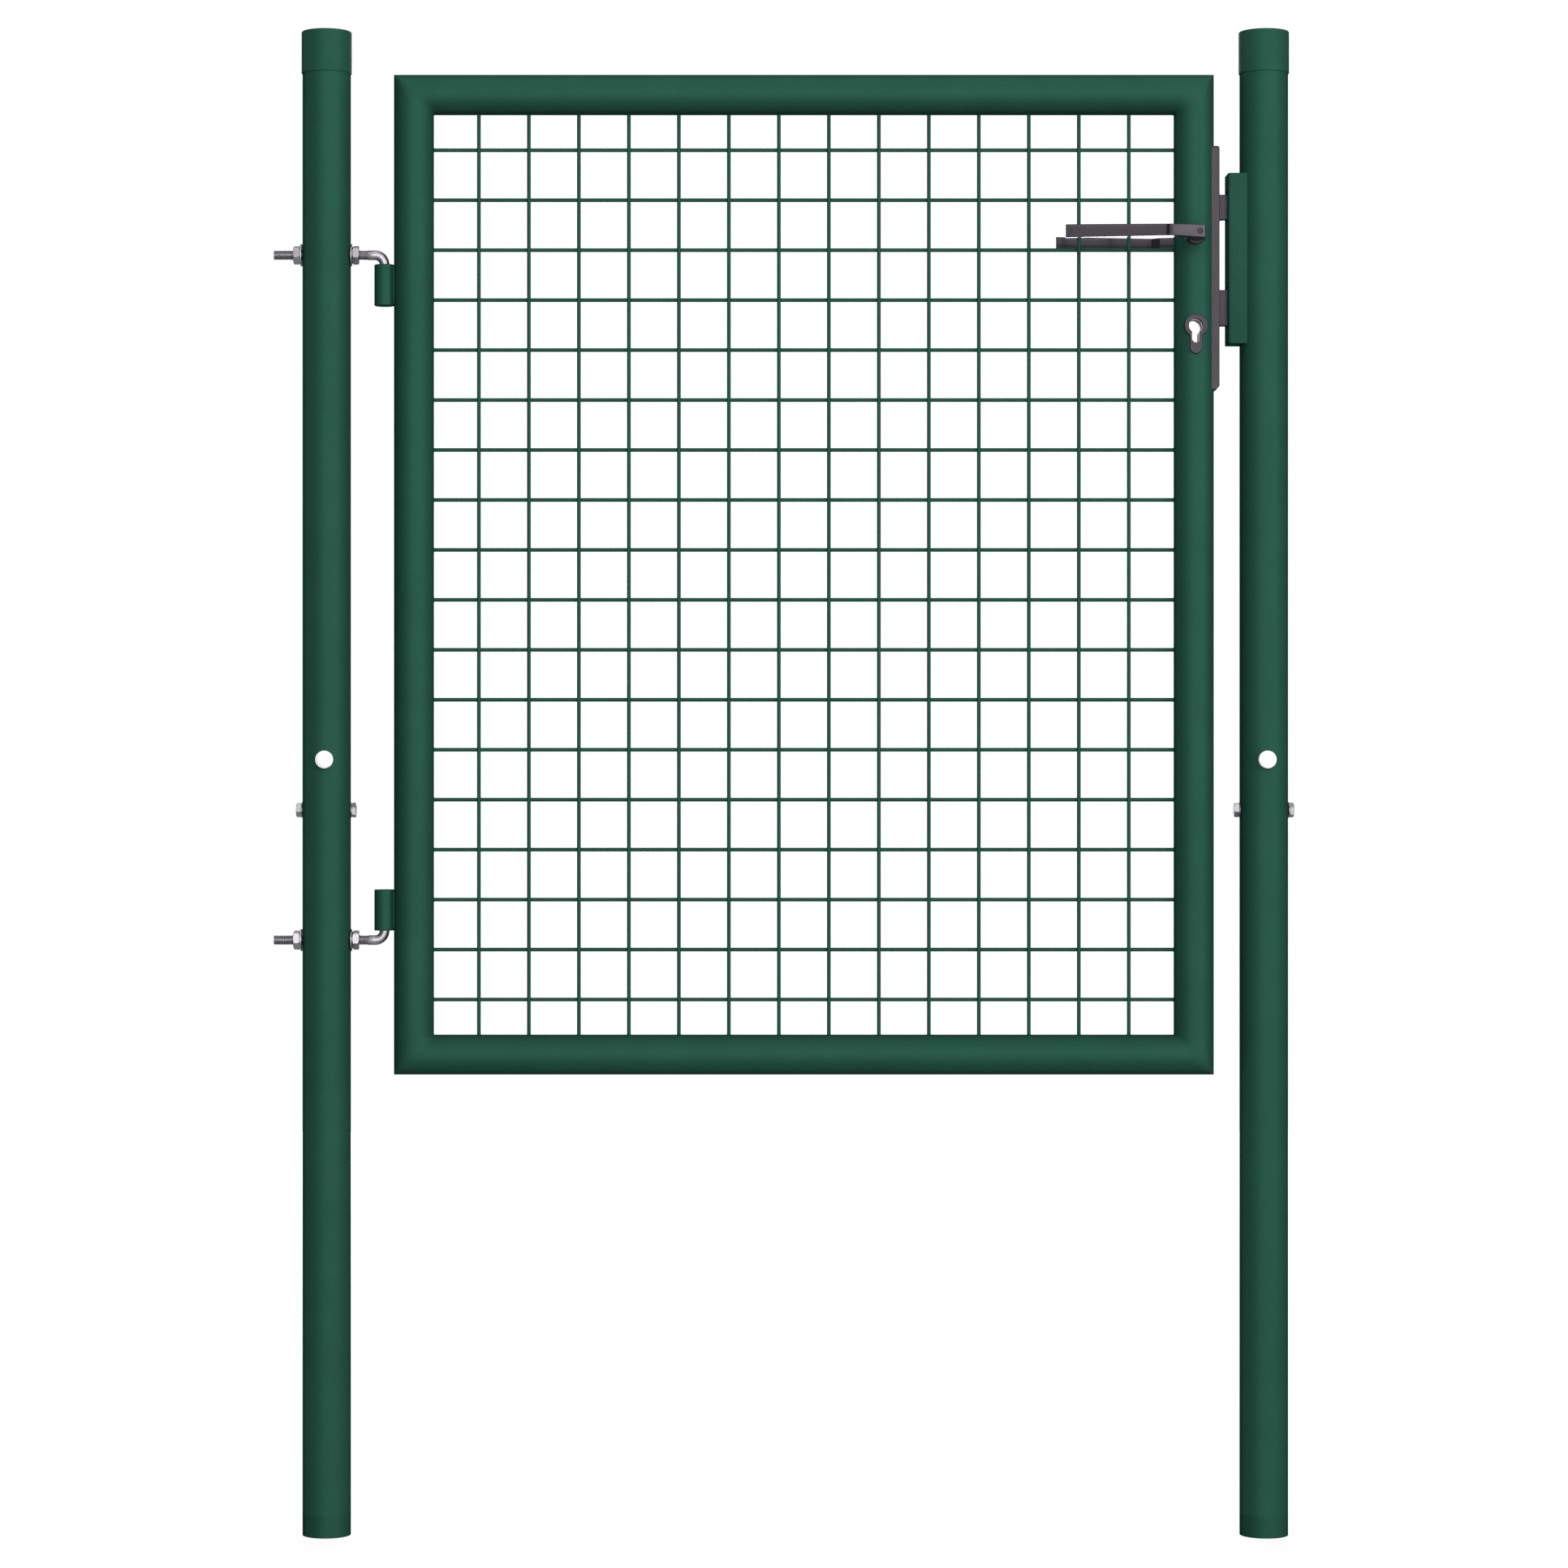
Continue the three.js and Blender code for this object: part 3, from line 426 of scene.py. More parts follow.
def rod(radius, low, high, sides=ROUND_SIDES):
    return lathe([(0, low), (radius, low), (radius, high), (0, high)], sides)


def prism(outline, low, high):
    """An outline drawn in (x, y), from height low to high."""
    count = len(outline)
    vertices = [(x, y, low) for x, y in outline] + [(x, y, high) for x, y in outline]
    faces = [tuple(reversed(range(count))), tuple(range(count, 2 * count))]
    faces += [(i, (i + 1) % count, count + (i + 1) % count, count + i) for i in range(count)]
    return vertices, faces


def block(x0, x1, y0, y1, z0, z1):
    return prism([(x0, y0), (x1, y0), (x1, y1), (x0, y1)], z0, z1)


def in_xz(body):
    """Takes a body drawn in (X, Z) with its height along Y back to (X, Y, Z)."""
    return [(x, h, z) for x, z, h in body[0]], body[1]


def in_yz(body):
    """Takes a body drawn in (Y, Z) with its height along X back to (X, Y, Z)."""
    return [(h, y, z) for y, z, h in body[0]], body[1]


NEARLY_STRAIGHT = math.radians(176)
LONGEST_SHARE = 0.48


def round_corners(points, radii, steps=8):
    """Rounds each corner of a polygon with its own radius, over less than half of either side."""
    out = []
    count = len(points)
    for i in range(count):
        here = Vector(points[i])
        before = Vector(points[i - 1]) - here
        after = Vector(points[(i + 1) % count]) - here
        radius = radii[i]
        angle = before.angle(after)
        if radius == 0 or angle > NEARLY_STRAIGHT:
            out.append(tuple(here))
            continue
        reach = min(radius / math.tan(angle / 2), LONGEST_SHARE * min(before.length, after.length))
        a = here + before.normalized() * reach
        b = here + after.normalized() * reach
        for s in range(steps + 1):
            t = s / steps
            out.append(tuple(a * (1 - t) ** 2 + here * 2 * t * (1 - t) + b * t ** 2))
    return out


# ---------------------------------------------------------------- posts

POST_WALL = 2.0
SEAM_CHAMFER = 0.05
CAP_WALL = 0.75
CAP_EDGE = 1.3
COVER_EDGE = 1.3
COVER_DOME = 1.3
BOLT_STATION_REACH = 15
HOLE_FIT = 0.35
CUTTER_SIDES = 32
CUTTER_SPARE = 5

M8_R = 4
M8_PITCH = 1.25
M8_FLATS = 13
M8_WASHER_R = 8
SHANK_SUNK = 0.2
SIDE_BOLT_PLAIN = 30
FRONT_BOLT_PLAIN = 34
FRONT_BOLT_HEAD = 5.3

HOOK_R = 5
HOOK_BEND = 9.3
HOOK_TIP = 1.2
M10_PITCH = 1.5
M10_FLATS = 17

# How far each hexagon is turned about its bolt, in degrees.
SIDE_HEAD_TURN = 17
SIDE_NUT_TURN = 8
FRONT_HEAD_TURN = 5
FRONT_NUT_TURN = 21
HOOK_NUT_TURN = {"outer": 14, "inner": -12}


def around(*heights):
    """The heights just below and just above each hole."""
    return [z + d for z in heights for d in (-BOLT_STATION_REACH, BOLT_STATION_REACH)]


def level_cutter(axis, x, z, radius, reach):
    return make("cutter", put(rod(radius, -reach, reach, CUTTER_SIDES), axis, (x, 0, z)))


def fasten(node_name, finish, *bodies):
    """A zinc-plated piece that rides the posts in place of its CAD node, named after the node and finish."""
    keep(make(f"{node_name}_{finish}", *bodies), "posts", "zinc_steel", "zinc_steel", node_name)


def build_post(prefix, hooks):
    low, high = corners(f"{prefix}_lower_tube")
    top_low, top_high = corners(f"{prefix}_upper_tube")
    x = (low.x + high.x) / 2
    outer = (high.x - low.x) / 2
    seam = (high.z + top_low.z) / 2
    side = middle(f"{prefix}_side_bolt")
    front = middle(f"{prefix}_front_bolt")
    for part, z0, z1, bolt, axis in (
        ("lower_tube", low.z, seam, side, "+x"),
        ("upper_tube", seam, top_high.z, front, "+y"),
    ):
        holes = [h for h in hooks if z0 < h < z1]
        body = tube(outer, outer - POST_WALL, z0, z1, SEAM_CHAMFER, around(bolt.z, *holes))
        made = make(f"{prefix}_{part}_round", put(body, "+z", (x, 0, 0)))
        carve(made, level_cutter(axis, x, bolt.z, M8_R + HOLE_FIT, outer + CUTTER_SPARE))
        for h in holes:
            carve(made, level_cutter("+x", x, h, HOOK_R + HOLE_FIT, outer + CUTTER_SPARE))
        keep(made, "posts", "green_coat", "green_coat", f"{prefix}_{part}")

    low, high = corners(f"{prefix}_cap")
    radius = (high.x - low.x) / 2
    inner = radius - CAP_WALL
    tube_top = top_high.z
    profile = [(0, tube_top + 0.3), (inner - 0.8, tube_top + 0.3), (inner, tube_top - 0.5)]
    profile += [(inner, low.z + 0.4), (inner + 0.2, low.z), (radius - 0.3, low.z), (radius, low.z + 0.3)]
    profile += arc(radius - CAP_EDGE, high.z - CAP_EDGE - 0.15, CAP_EDGE, 0, 90, 8)
    profile += [(radius * 0.6, high.z - 0.04), (0, high.z)]
    cap = make(f"{prefix}_cap_moulded", put(lathe(profile, TUBE_SIDES), "+z", (x, 0, 0)))
    keep(cap, "posts", "green_plastic", "green_plastic", f"{prefix}_cap")

    build_side_bolt(prefix)
    build_front_bolt(prefix, x)


def build_side_bolt(prefix):
    low, high = corners(f"{prefix}_side_bolt")
    z = (low.z + high.z) / 2
    head = corners(f"{prefix}_side_washer_left")[0].x - low.x - 0.05
    seat = low.x + head
    fasten(
        f"{prefix}_side_bolt", "threaded",
        put(bolt_head(M8_FLATS, head, SIDE_HEAD_TURN), "-x", (seat, 0, z)),
        put(rod(M8_R, 0, SIDE_BOLT_PLAIN, 32), "+x", (seat - SHANK_SUNK, 0, z)),
        put(screw_thread(M8_R, M8_PITCH, 0, high.x - low.x - head - SIDE_BOLT_PLAIN), "+x",
            (seat + SIDE_BOLT_PLAIN, 0, z)),
    )
    for side, axis in (("left", "-x"), ("right", "+x")):
        low, high = corners(f"{prefix}_side_washer_{side}")
        start = high.x if axis == "-x" else low.x
        body = put(washer(M8_WASHER_R, M8_R + HOLE_FIT, high.x - low.x), axis, (start, 0, z))
        fasten(f"{prefix}_side_washer_{side}", "pressed", body)
    low, high = corners(f"{prefix}_side_nut")
    body = put(nut(M8_FLATS, M8_R, high.x - low.x, SIDE_NUT_TURN), "+x", (low.x, 0, z))
    fasten(f"{prefix}_side_nut", "chamfered", body)


def build_front_bolt(prefix, x):
    low, high = corners(f"{prefix}_front_bolt")
    z = (low.z + high.z) / 2
    seat = low.y + FRONT_BOLT_HEAD
    fasten(
        f"{prefix}_front_bolt", "threaded",
        put(bolt_head(M8_FLATS, FRONT_BOLT_HEAD, FRONT_HEAD_TURN), "-y", (x, seat, z)),
        put(rod(M8_R, 0, FRONT_BOLT_PLAIN, 32), "+y", (x, seat - SHANK_SUNK, z)),
        put(screw_thread(M8_R, M8_PITCH, 0, high.y - seat - FRONT_BOLT_PLAIN), "+y",
            (x, seat + FRONT_BOLT_PLAIN, z)),
    )
    low, high = corners(f"{prefix}_front_washer")
    body = put(washer(M8_WASHER_R, M8_R + HOLE_FIT, high.y - low.y), "+y", (x, low.y, z))
    fasten(f"{prefix}_front_washer", "pressed", body)
    low, high = corners(f"{prefix}_front_nut")
    body = put(nut(M8_FLATS, M8_R, high.y - low.y, FRONT_NUT_TURN), "+y", (x, low.y, z))
    fasten(f"{prefix}_front_nut", "chamfered", body)

    cover_low, cover_high = corners(f"{prefix}_front_cover")
    radius = (cover_high.x - cover_low.x) / 2
    tall = cover_high.y - cover_low.y
    profile = [(0, tall - 1.6), (radius - 1.6, tall - 2.1), (radius - 1.1, 0.2), (radius - 0.4, 0)]
    profile += [(radius, 0.4), (radius, tall - 3.4)]
    profile += arc(radius - COVER_EDGE, tall - 2.55, COVER_EDGE, 0, 74, 8)
    profile += [(radius * part, tall - COVER_DOME * part ** 2) for part in (0.8, 0.65, 0.5, 0.35, 0.2)]
    profile += [(0, tall)]
    made = make(f"{prefix}_front_cover_domed", put(lathe(profile, ROUND_SIDES), "-y", (x, cover_high.y, z)))
    keep(made, "posts", "white_plastic", "white_plastic", f"{prefix}_front_cover")


def hook_height(name, down):
    """The height of a hook's threaded leg: its top if the pin points down, its foot if the pin points up."""
    low, high = corners(name)
    return high.z - HOOK_R if down else low.z + HOOK_R


def build_hook(prefix, down):
    """A hook: a threaded leg, then a plain part that bends into the pin inside the barrel."""
    low, high = corners(f"{prefix}_hook")
    axis_x = high.x - HOOK_R
    z = hook_height(f"{prefix}_hook", down)
    turn = -1 if down else 1
    tip = low.z if down else high.z
    thread_end = axis_x - HOOK_BEND - 7
    leg = put(screw_thread(HOOK_R, M10_PITCH, 0, thread_end - low.x, 40), "+x", (low.x, 0, z))
    rings = []
    sides = 48

    def ring(px, pz, tx, tz, radius):
        """Adds a ring about (px, pz), square to the direction (tx, tz)."""
        rings.append([
            (px - tz * radius * math.sin(TAU * i / sides), radius * math.cos(TAU * i / sides),
             pz + tx * radius * math.sin(TAU * i / sides)) for i in range(sides)
        ])

    rings.append([(thread_end - 1.6, 0, z)])
    ring(thread_end - 1.5, z, 1, 0, HOOK_R - 0.9)
    ring(thread_end, z, 1, 0, HOOK_R)
    steps = 24
    for s in range(steps + 1):
        angle = math.pi / 2 * s / steps
        ring(
            axis_x - HOOK_BEND + HOOK_BEND * math.sin(angle),
            z + turn * HOOK_BEND * (1 - math.cos(angle)),
            math.cos(angle),
            turn * math.sin(angle),
            HOOK_R,
        )
    ring(axis_x, tip - turn * HOOK_TIP, 0, turn, HOOK_R)
    ring(axis_x, tip, 0, turn, HOOK_R - HOOK_TIP)
    rings.append([(axis_x, 0, tip)])
    fasten(f"{prefix}_hook", "bent", leg, skin(rings))
    for side, axis in (("outer", "-x"), ("inner", "+x")):
        low, high = corners(f"{prefix}_washer_{side}")
        start = high.x if axis == "-x" else low.x
        body = put(washer((high.z - low.z) / 2, HOOK_R + HOLE_FIT, high.x - low.x), axis, (start, 0, z))
        fasten(f"{prefix}_washer_{side}", "pressed", body)
        low, high = corners(f"{prefix}_nut_{side}")
        start = high.x if axis == "-x" else low.x
        body = put(nut(M10_FLATS, HOOK_R, high.x - low.x, HOOK_NUT_TURN[side]), axis, (start, 0, z))
        fasten(f"{prefix}_nut_{side}", "chamfered", body)


build_post("hinge_post", (hook_height("upper_hinge_hook", True), hook_height("lower_hinge_hook", False)))
build_post("latch_post", ())
build_hook("upper_hinge", True)
build_hook("lower_hinge", False)

# ---------------------------------------------------------------- leaf frame

stile_low, stile_high = corners("leaf_hinge_stile")
LATCH_STILE = ("leaf_latch_stile_lower", "leaf_latch_stile_lock", "leaf_latch_stile_upper")
FRAME_R = (stile_high.x - stile_low.x) / 2
FRAME_WALL = 2.0
LEFT = stile_low.x
RIGHT = corners(LATCH_STILE[0])[1].x
BOTTOM = min(stile_low.z, corners("leaf_bottom_rail")[0].z)
TOP = max(stile_high.z, corners("leaf_top_rail")[1].z)
HINGE_X = LEFT + FRAME_R
STILE_X = RIGHT - FRAME_R

WELD_LEAST = 0.8
WELD_REACH = 10.0


def weld_gap(angle):
    """How far a tube stops short of its mitre: least at the outer and inner corner, most at front and back."""
    return WELD_LEAST + WELD_REACH * math.sin(angle) ** 2


def dressed_weld(corner, outward_x, outward_z, sides=96, steps=10):
    """A closed ring of ground weld metal between two mitred tubes: an arc across the mitre at each angle."""
    cx, cz = corner
    rings = []
    for k in range(sides):
        angle = TAU * k / sides
        gap = weld_gap(angle)
        ring = []
        for radius in (FRAME_R, FRAME_R - FRAME_WALL):
            out = radius * math.cos(angle)
            across = radius * math.sin(angle)
            stretch = []
            for s in range(steps + 1):
                t = s / steps
                along_x = out - gap * t ** 2
                along_z = out - gap * (1 - t) ** 2
                stretch.append((cx + outward_x * along_x, across, cz + outward_z * along_z))
            ring += stretch if radius == FRAME_R else stretch[::-1]
        rings.append(ring)
    return skin(rings, loop_ends=True)


def mitred(length, stations=()):
    """A tube along +Z with both ends at 45 degrees and room for the weld, its short side towards +X."""
    levels = sorted(stations)
    rings = []
    for radius in (FRAME_R, FRAME_R - FRAME_WALL):
        ring_levels = [None] + levels + [length]
        if radius < FRAME_R:
            ring_levels.reverse()
        for level in ring_levels:
            ring = []
            for i in range(TUBE_SIDES):
                angle = TAU * i / TUBE_SIDES
                x = radius * math.cos(angle)
                y = radius * math.sin(angle)
                step = x + FRAME_R + weld_gap(angle)
                z = step if level is None else (length - step if level == length else level)
                ring.append((x, y, z))
            rings.append(ring)
    return skin(rings, loop_ends=True)


def turned_to(body, ux, uz, origin):
    """Maps a mitred tube: its +X goes to ux and its +Z to uz, both in the XZ plane."""
    base = Vector(origin)
    ux = Vector(ux)
    uz = Vector(uz)
    uy = uz.cross(ux)
    return [tuple(base + ux * x + uy * y + uz * z) for x, y, z in body[0]], body[1]


lock_low, lock_high = corners("lock_faceplate")
case_low, case_high = corners("lock_case")
spindle = middle("spindle")
key_front_low, key_front_high = corners("key_plate_front")
KEY_R = 7.2
KEY_TAIL = 4.1
KEY_TALL = 24.1
KEY_FIT = 0.6
KEY_PLATE_R = (key_front_high.x - key_front_low.x) / 2
KEY_Z = key_front_high.z - KEY_PLATE_R
KEY_LOW = KEY_Z + KEY_R - KEY_TALL
KEY_BACK_WIDER = 1.8
CASE_HALF = 8.45
CASE_FIT = 0.3
COLLAR_HOLE_R = 7.3


def keyhole(radius, tail, low, grow):
    """A keyhole's outline in (X, Z): a circle over a slot of half width tail that reaches down to low."""
    r = radius + grow
    t = tail + grow
    meet = math.degrees(math.asin(t / r))
    points = arc(STILE_X, KEY_Z, r, -90 + meet, 270 - meet, 48)
    points += arc(STILE_X, low - grow + t, t, 180, 360, 20)
    return points


def key_cutter(grow, low, high):
    return make("cutter", in_xz(prism(keyhole(KEY_R, KEY_TAIL, KEY_LOW, grow), low, high)))


height = TOP - BOTTOM
width = RIGHT - LEFT
body = turned_to(mitred(height), (1, 0, 0), (0, 0, 1), (HINGE_X, 0, BOTTOM))
keep(make("leaf_hinge_stile_round", body), "leaf", "green_coat", "green_coat", "leaf_hinge_stile")
body = turned_to(mitred(width), (0, 0, -1), (1, 0, 0), (LEFT, 0, TOP - FRAME_R))
keep(make("leaf_top_rail_round", body), "leaf", "green_coat", "green_coat", "leaf_top_rail")
body = turned_to(mitred(width), (0, 0, 1), (1, 0, 0), (LEFT, 0, BOTTOM + FRAME_R))
keep(make("leaf_bottom_rail_round", body), "leaf", "green_coat", "green_coat", "leaf_bottom_rail")

# Extra rings around the lock, the spindle and the keyhole keep each cut local.
cuts = [lock_low.z, lock_high.z, spindle.z - 12, spindle.z + 12, KEY_Z - 22, KEY_Z - 8, KEY_Z + 12]
body = turned_to(mitred(height, [z - BOTTOM for z in cuts]), (-1, 0, 0), (0, 0, 1), (STILE_X, 0, BOTTOM))
stile = make("leaf_latch_stile_round", body)
carve(
    stile,
    make("cutter", block(
        STILE_X, RIGHT + 1, -CASE_HALF, CASE_HALF, case_low.z - CASE_FIT, case_high.z + CASE_FIT)),
    level_cutter("+y", STILE_X, spindle.z, COLLAR_HOLE_R, FRAME_R + 1),
    key_cutter(KEY_FIT, -FRAME_R - 1, 0),
    key_cutter(KEY_BACK_WIDER + KEY_FIT, 0, FRAME_R + 1),
)
keep(stile, "leaf", "green_coat", "green_coat", *LATCH_STILE)

welds = [
    dressed_weld((x, z), outward_x, outward_z)
    for x, outward_x in ((HINGE_X, -1), (STILE_X, 1))
    for z, outward_z in ((BOTTOM + FRAME_R, -1), (TOP - FRAME_R, 1))
]
keep(make("leaf_corner_welds", *welds), "leaf", "green_coat", "green_coat")

# ---------------------------------------------------------------- hinge barrels

BARREL_BORE = 5.3
BARREL_CHAMFER = 0.6
BEAD_X = 9.6
BEAD_Y = 3.4
BEAD_R = 2.2
BEAD_RINGS = 60
BEAD_SIDES = 14
BEAD_RIPPLE = 0.05

for prefix in ("upper_hinge", "lower_hinge"):
    low, high = corners(f"{prefix}_barrel")
    radius = (high.y - low.y) / 2
    x = low.x + radius
    sleeve = put(tube(radius, BARREL_BORE, low.z, high.z, BARREL_CHAMFER, (), ROUND_SIDES), "+z", (x, 0, 0))
    beads = []
    for side in (-1, 1):
        rings = [[(x + BEAD_X, side * BEAD_Y, low.z + 1.2)]]
        for k in range(BEAD_RINGS + 1):
            t = k / BEAD_RINGS
            r = BEAD_R * min(1, 0.45 + 6 * t, 0.45 + 6 * (1 - t)) * (1 + BEAD_RIPPLE * math.sin(k * 1.3))
            z = low.z + 1.5 + (high.z - low.z - 3) * t
            angles = [TAU * i / BEAD_SIDES for i in range(BEAD_SIDES)]
            rings.append([(x + BEAD_X + r * math.cos(a), side * BEAD_Y + r * math.sin(a), z) for a in angles])
        rings.append([(x + BEAD_X, side * BEAD_Y, high.z - 1.2)])
        beads.append(skin(rings))
    barrel = make(f"{prefix}_barrel_welded", sleeve, *beads)
    keep(barrel, "leaf", "green_coat", "green_coat", f"{prefix}_barrel")

# ---------------------------------------------------------------- wire infill

WIRE_R = 1.9
WIRE_SIDES = 16
LAYER = 1.5
PITCH = 50
UPRIGHTS = 14
LEVELS = 18
INSET = 2 * FRAME_R - 0.35
CROSS_WELD = (2.1, 1.7, 2.1)
END_WELD = (2.4, 2.3, 0.8)
mid_x = (LEFT + RIGHT) / 2
mid_z = (BOTTOM + TOP) / 2
upright_x = [mid_x + (i - (UPRIGHTS - 1) / 2) * PITCH for i in range(UPRIGHTS)]
level_z = [mid_z + (i - (LEVELS - 1) / 2) * PITCH for i in range(LEVELS)]


def blob(centre, rx, ry, rz, rows=4, sides=10):
    """A small closed lump of weld and coating."""
    cx, cy, cz = centre
    rings = [[(cx, cy, cz - rz)]]
    for k in range(1, rows):
        a = math.pi * k / rows - math.pi / 2
        rings.append([
            (cx + rx * math.cos(a) * math.cos(TAU * i / sides),
             cy + ry * math.cos(a) * math.sin(TAU * i / sides),
             cz + rz * math.sin(a))
            for i in range(sides)
        ])
    rings.append([(cx, cy, cz + rz)])
    return skin(rings)


wires = []
for x in upright_x:
    wires.append(put(rod(WIRE_R, BOTTOM + INSET, TOP - INSET, WIRE_SIDES), "+z", (x, -LAYER, 0)))
for z in level_z:
    wires.append(put(rod(WIRE_R, LEFT + INSET, RIGHT - INSET, WIRE_SIDES), "+x", (0, LAYER, z)))
spots = [blob((x, 0, z), *CROSS_WELD) for x in upright_x for z in level_z]
for x in upright_x:
    spots += [blob((x, -LAYER, z), *END_WELD) for z in (BOTTOM + 2 * FRAME_R, TOP - 2 * FRAME_R)]
for z in level_z:
    spots += [blob((x, LAYER, z), *reversed(END_WELD)) for x in (LEFT + 2 * FRAME_R, RIGHT - 2 * FRAME_R)]
keep(make("wire_infill_welded", *wires, *spots), "leaf", "green_coat", "green_coat", "wire_infill")

# ---------------------------------------------------------------- lock: faceplate, screws, bolts

WEB = 2.5
FLANGE = 2.0
HALF = (lock_high.y - lock_low.y) / 2
FACE = lock_high.x
PLATE_CORNER = 3.0
PLATE_FIT = 0.02
BOLT_FIT = 0.3
SCREW_HOLE_R = 2.85
SCREW_SINK_R = 5.2
SCREW_R = 2.5
RECESS_LONG = 2.4
RECESS_WIDE = 0.5
RECESS_DEEP = 1.5


def rounded_rectangle(half, low, high, radius, steps=8):
    points = arc(half - radius, low + radius, radius, -90, 0, steps)
    points += arc(half - radius, high - radius, radius, 0, 90, steps)
    points += arc(radius - half, high - radius, radius, 90, 180, steps)
    points += arc(radius - half, low + radius, radius, 180, 270, steps)
    return points


outline = rounded_rectangle(HALF, lock_low.z, lock_high.z, PLATE_CORNER)
plate = soften(make("lock_faceplate_pressed", in_yz(prism(outline, STILE_X, FACE))), 1.0, 4, 60)
latch_box = corners("latch_bolt")
dead_box = corners("dead_bolt")
LATCH_HEAD = (1314.6, 1339.6)
BOLT_HEADS = (LATCH_HEAD, (dead_box[0].z, dead_box[1].z))
BOLT_HALF = (latch_box[1].y - latch_box[0].y) / 2
TOP_ROUND = 3.0
FOOT_BEVEL = (4.2, 5.2)
screws = [middle("faceplate_screw_1"), middle("faceplate_screw_2")]
plate_cuts = [
    make("cutter", block(
        STILE_X - 1, FACE - WEB, FLANGE - HALF, HALF - FLANGE, lock_low.z - 1, lock_high.z + 1)),
    make("cutter", put(
        rod(FRAME_R + PLATE_FIT, lock_low.z - 1, lock_high.z + 1, TUBE_SIDES), "+z", (STILE_X, 0, 0))),
]
for z0, z1 in BOLT_HEADS:
    plate_cuts.append(make("cutter", block(
        FACE - WEB - 1, FACE + 1, -BOLT_HALF - BOLT_FIT, BOLT_HALF + BOLT_FIT, z0 - BOLT_FIT, z1 + BOLT_FIT)))
round_top = [
    (FACE + 1, lock_high.z - TOP_ROUND), (FACE + 1, lock_high.z + 1), (FACE - TOP_ROUND, lock_high.z + 1),
]
round_top += arc(FACE - TOP_ROUND, lock_high.z - TOP_ROUND, TOP_ROUND, 90, 0, 8)
bevel_foot = [
    (FACE - FOOT_BEVEL[0], lock_low.z), (FACE - FOOT_BEVEL[0], lock_low.z - 1), (FACE + 1, lock_low.z - 1),
    (FACE + 1, lock_low.z + FOOT_BEVEL[1]), (FACE, lock_low.z + FOOT_BEVEL[1]),
]
for outline in (round_top, bevel_foot):
    plate_cuts.append(make("cutter", in_xz(prism(outline, -HALF - 1, HALF + 1))))
for screw in screws:
    hole = lathe([
        (0, -0.5), (SCREW_HOLE_R, -0.5), (SCREW_HOLE_R, 0), (SCREW_SINK_R, WEB), (SCREW_SINK_R, WEB + 1),
        (0, WEB + 1),
    ], 32)
    plate_cuts.append(make("cutter", put(hole, "+x", (FACE - WEB, 0, screw.z))))
carve(plate, *plate_cuts)
keep(plate, "leaf", "lock_steel", "lock_steel", "lock_faceplate")

for index, screw in enumerate(screws, 1):
    low, high = corners(f"faceplate_screw_{index}")
    head = (high.y - low.y) / 2
    tip = low.x - (FACE - WEB)
    body = lathe([
        (0, tip), (SCREW_R, tip), (SCREW_R, 0.3), (head - 0.2, WEB - 0.45),
        (head, WEB - 0.3), (head - 0.25, WEB - 0.2), (0, WEB - 0.15),
    ], 48)
    made = make(f"faceplate_screw_{index}_recessed", put(body, "+x", (FACE - WEB, 0, screw.z)))
    carve(made, *[
        make("cutter", block(high.x - RECESS_DEEP, high.x + 1, -ay, ay, screw.z - az, screw.z + az))
        for ay, az in ((RECESS_LONG, RECESS_WIDE), (RECESS_WIDE, RECESS_LONG))
    ])
    keep(made, "leaf", "zinc_steel", "zinc_steel", f"faceplate_screw_{index}")

# The latch bolt: a sloped head with a hole for the spring, a tail under it and a finger down to the follower.
SPRING_Z = 1332
SPRING_HOLE_R = 4.6
SPRING_HOLE_END = 440
HEAD_BACK = 11.9
HEAD_SLOPE = 10.8
HEAD_NOSE = 2.3
TAIL_LONG = 13
TAIL_LOW = 1321
TAIL_TOP = 1325.5
FINGER_LONG = 2.8
FINGER_TOP = 1325.4
TAIL_SLIMMER = 0.1

low, high = latch_box
outline = [
    (low.x + HEAD_BACK, -BOLT_HALF), (high.x, -BOLT_HALF), (high.x, HEAD_NOSE - BOLT_HALF),
    (high.x - HEAD_SLOPE, BOLT_HALF), (low.x + HEAD_BACK, BOLT_HALF),
]
outline = round_corners(outline, [0, 1.2, 1.2, 3, 0])
latch = soften(make("latch_bolt_polished", prism(outline, *LATCH_HEAD)), 0.5, 3, 50)
sides = (-BOLT_HALF + TAIL_SLIMMER, BOLT_HALF - TAIL_SLIMMER)
tail = make("tail", block(low.x, low.x + TAIL_LONG, *sides, TAIL_LOW, TAIL_TOP))
finger = make("finger", block(low.x, low.x + FINGER_LONG, *sides, low.z, FINGER_TOP))
join(latch, tail, finger)
carve(latch, make("cutter", put(rod(SPRING_HOLE_R, low.x + 10, SPRING_HOLE_END, 32), "+x", (0, 0, SPRING_Z))))
keep(latch, "latch_bolt", "lock_steel", "lock_steel", "latch_bolt")

DEAD_TAIL_LOW = 1216
DEAD_SHOULDER_X = 433

low, high = dead_box
outline = [
    (low.x, DEAD_TAIL_LOW), (DEAD_SHOULDER_X, DEAD_TAIL_LOW), (DEAD_SHOULDER_X, low.z), (high.x, low.z),
    (high.x, high.z), (low.x, high.z),
]
outline = round_corners(outline, [0, 0, 0.4, 1.4, 1.4, 0.4])
dead = soften(make("dead_bolt_polished", in_xz(prism(outline, -BOLT_HALF, BOLT_HALF))), 0.6, 3, 50)
keep(dead, "dead_bolt", "lock_steel", "lock_steel", "dead_bolt")

SPRING_WIRE = 0.5
SPRING_TURNS = 8
DEAD_TURN = 1.2


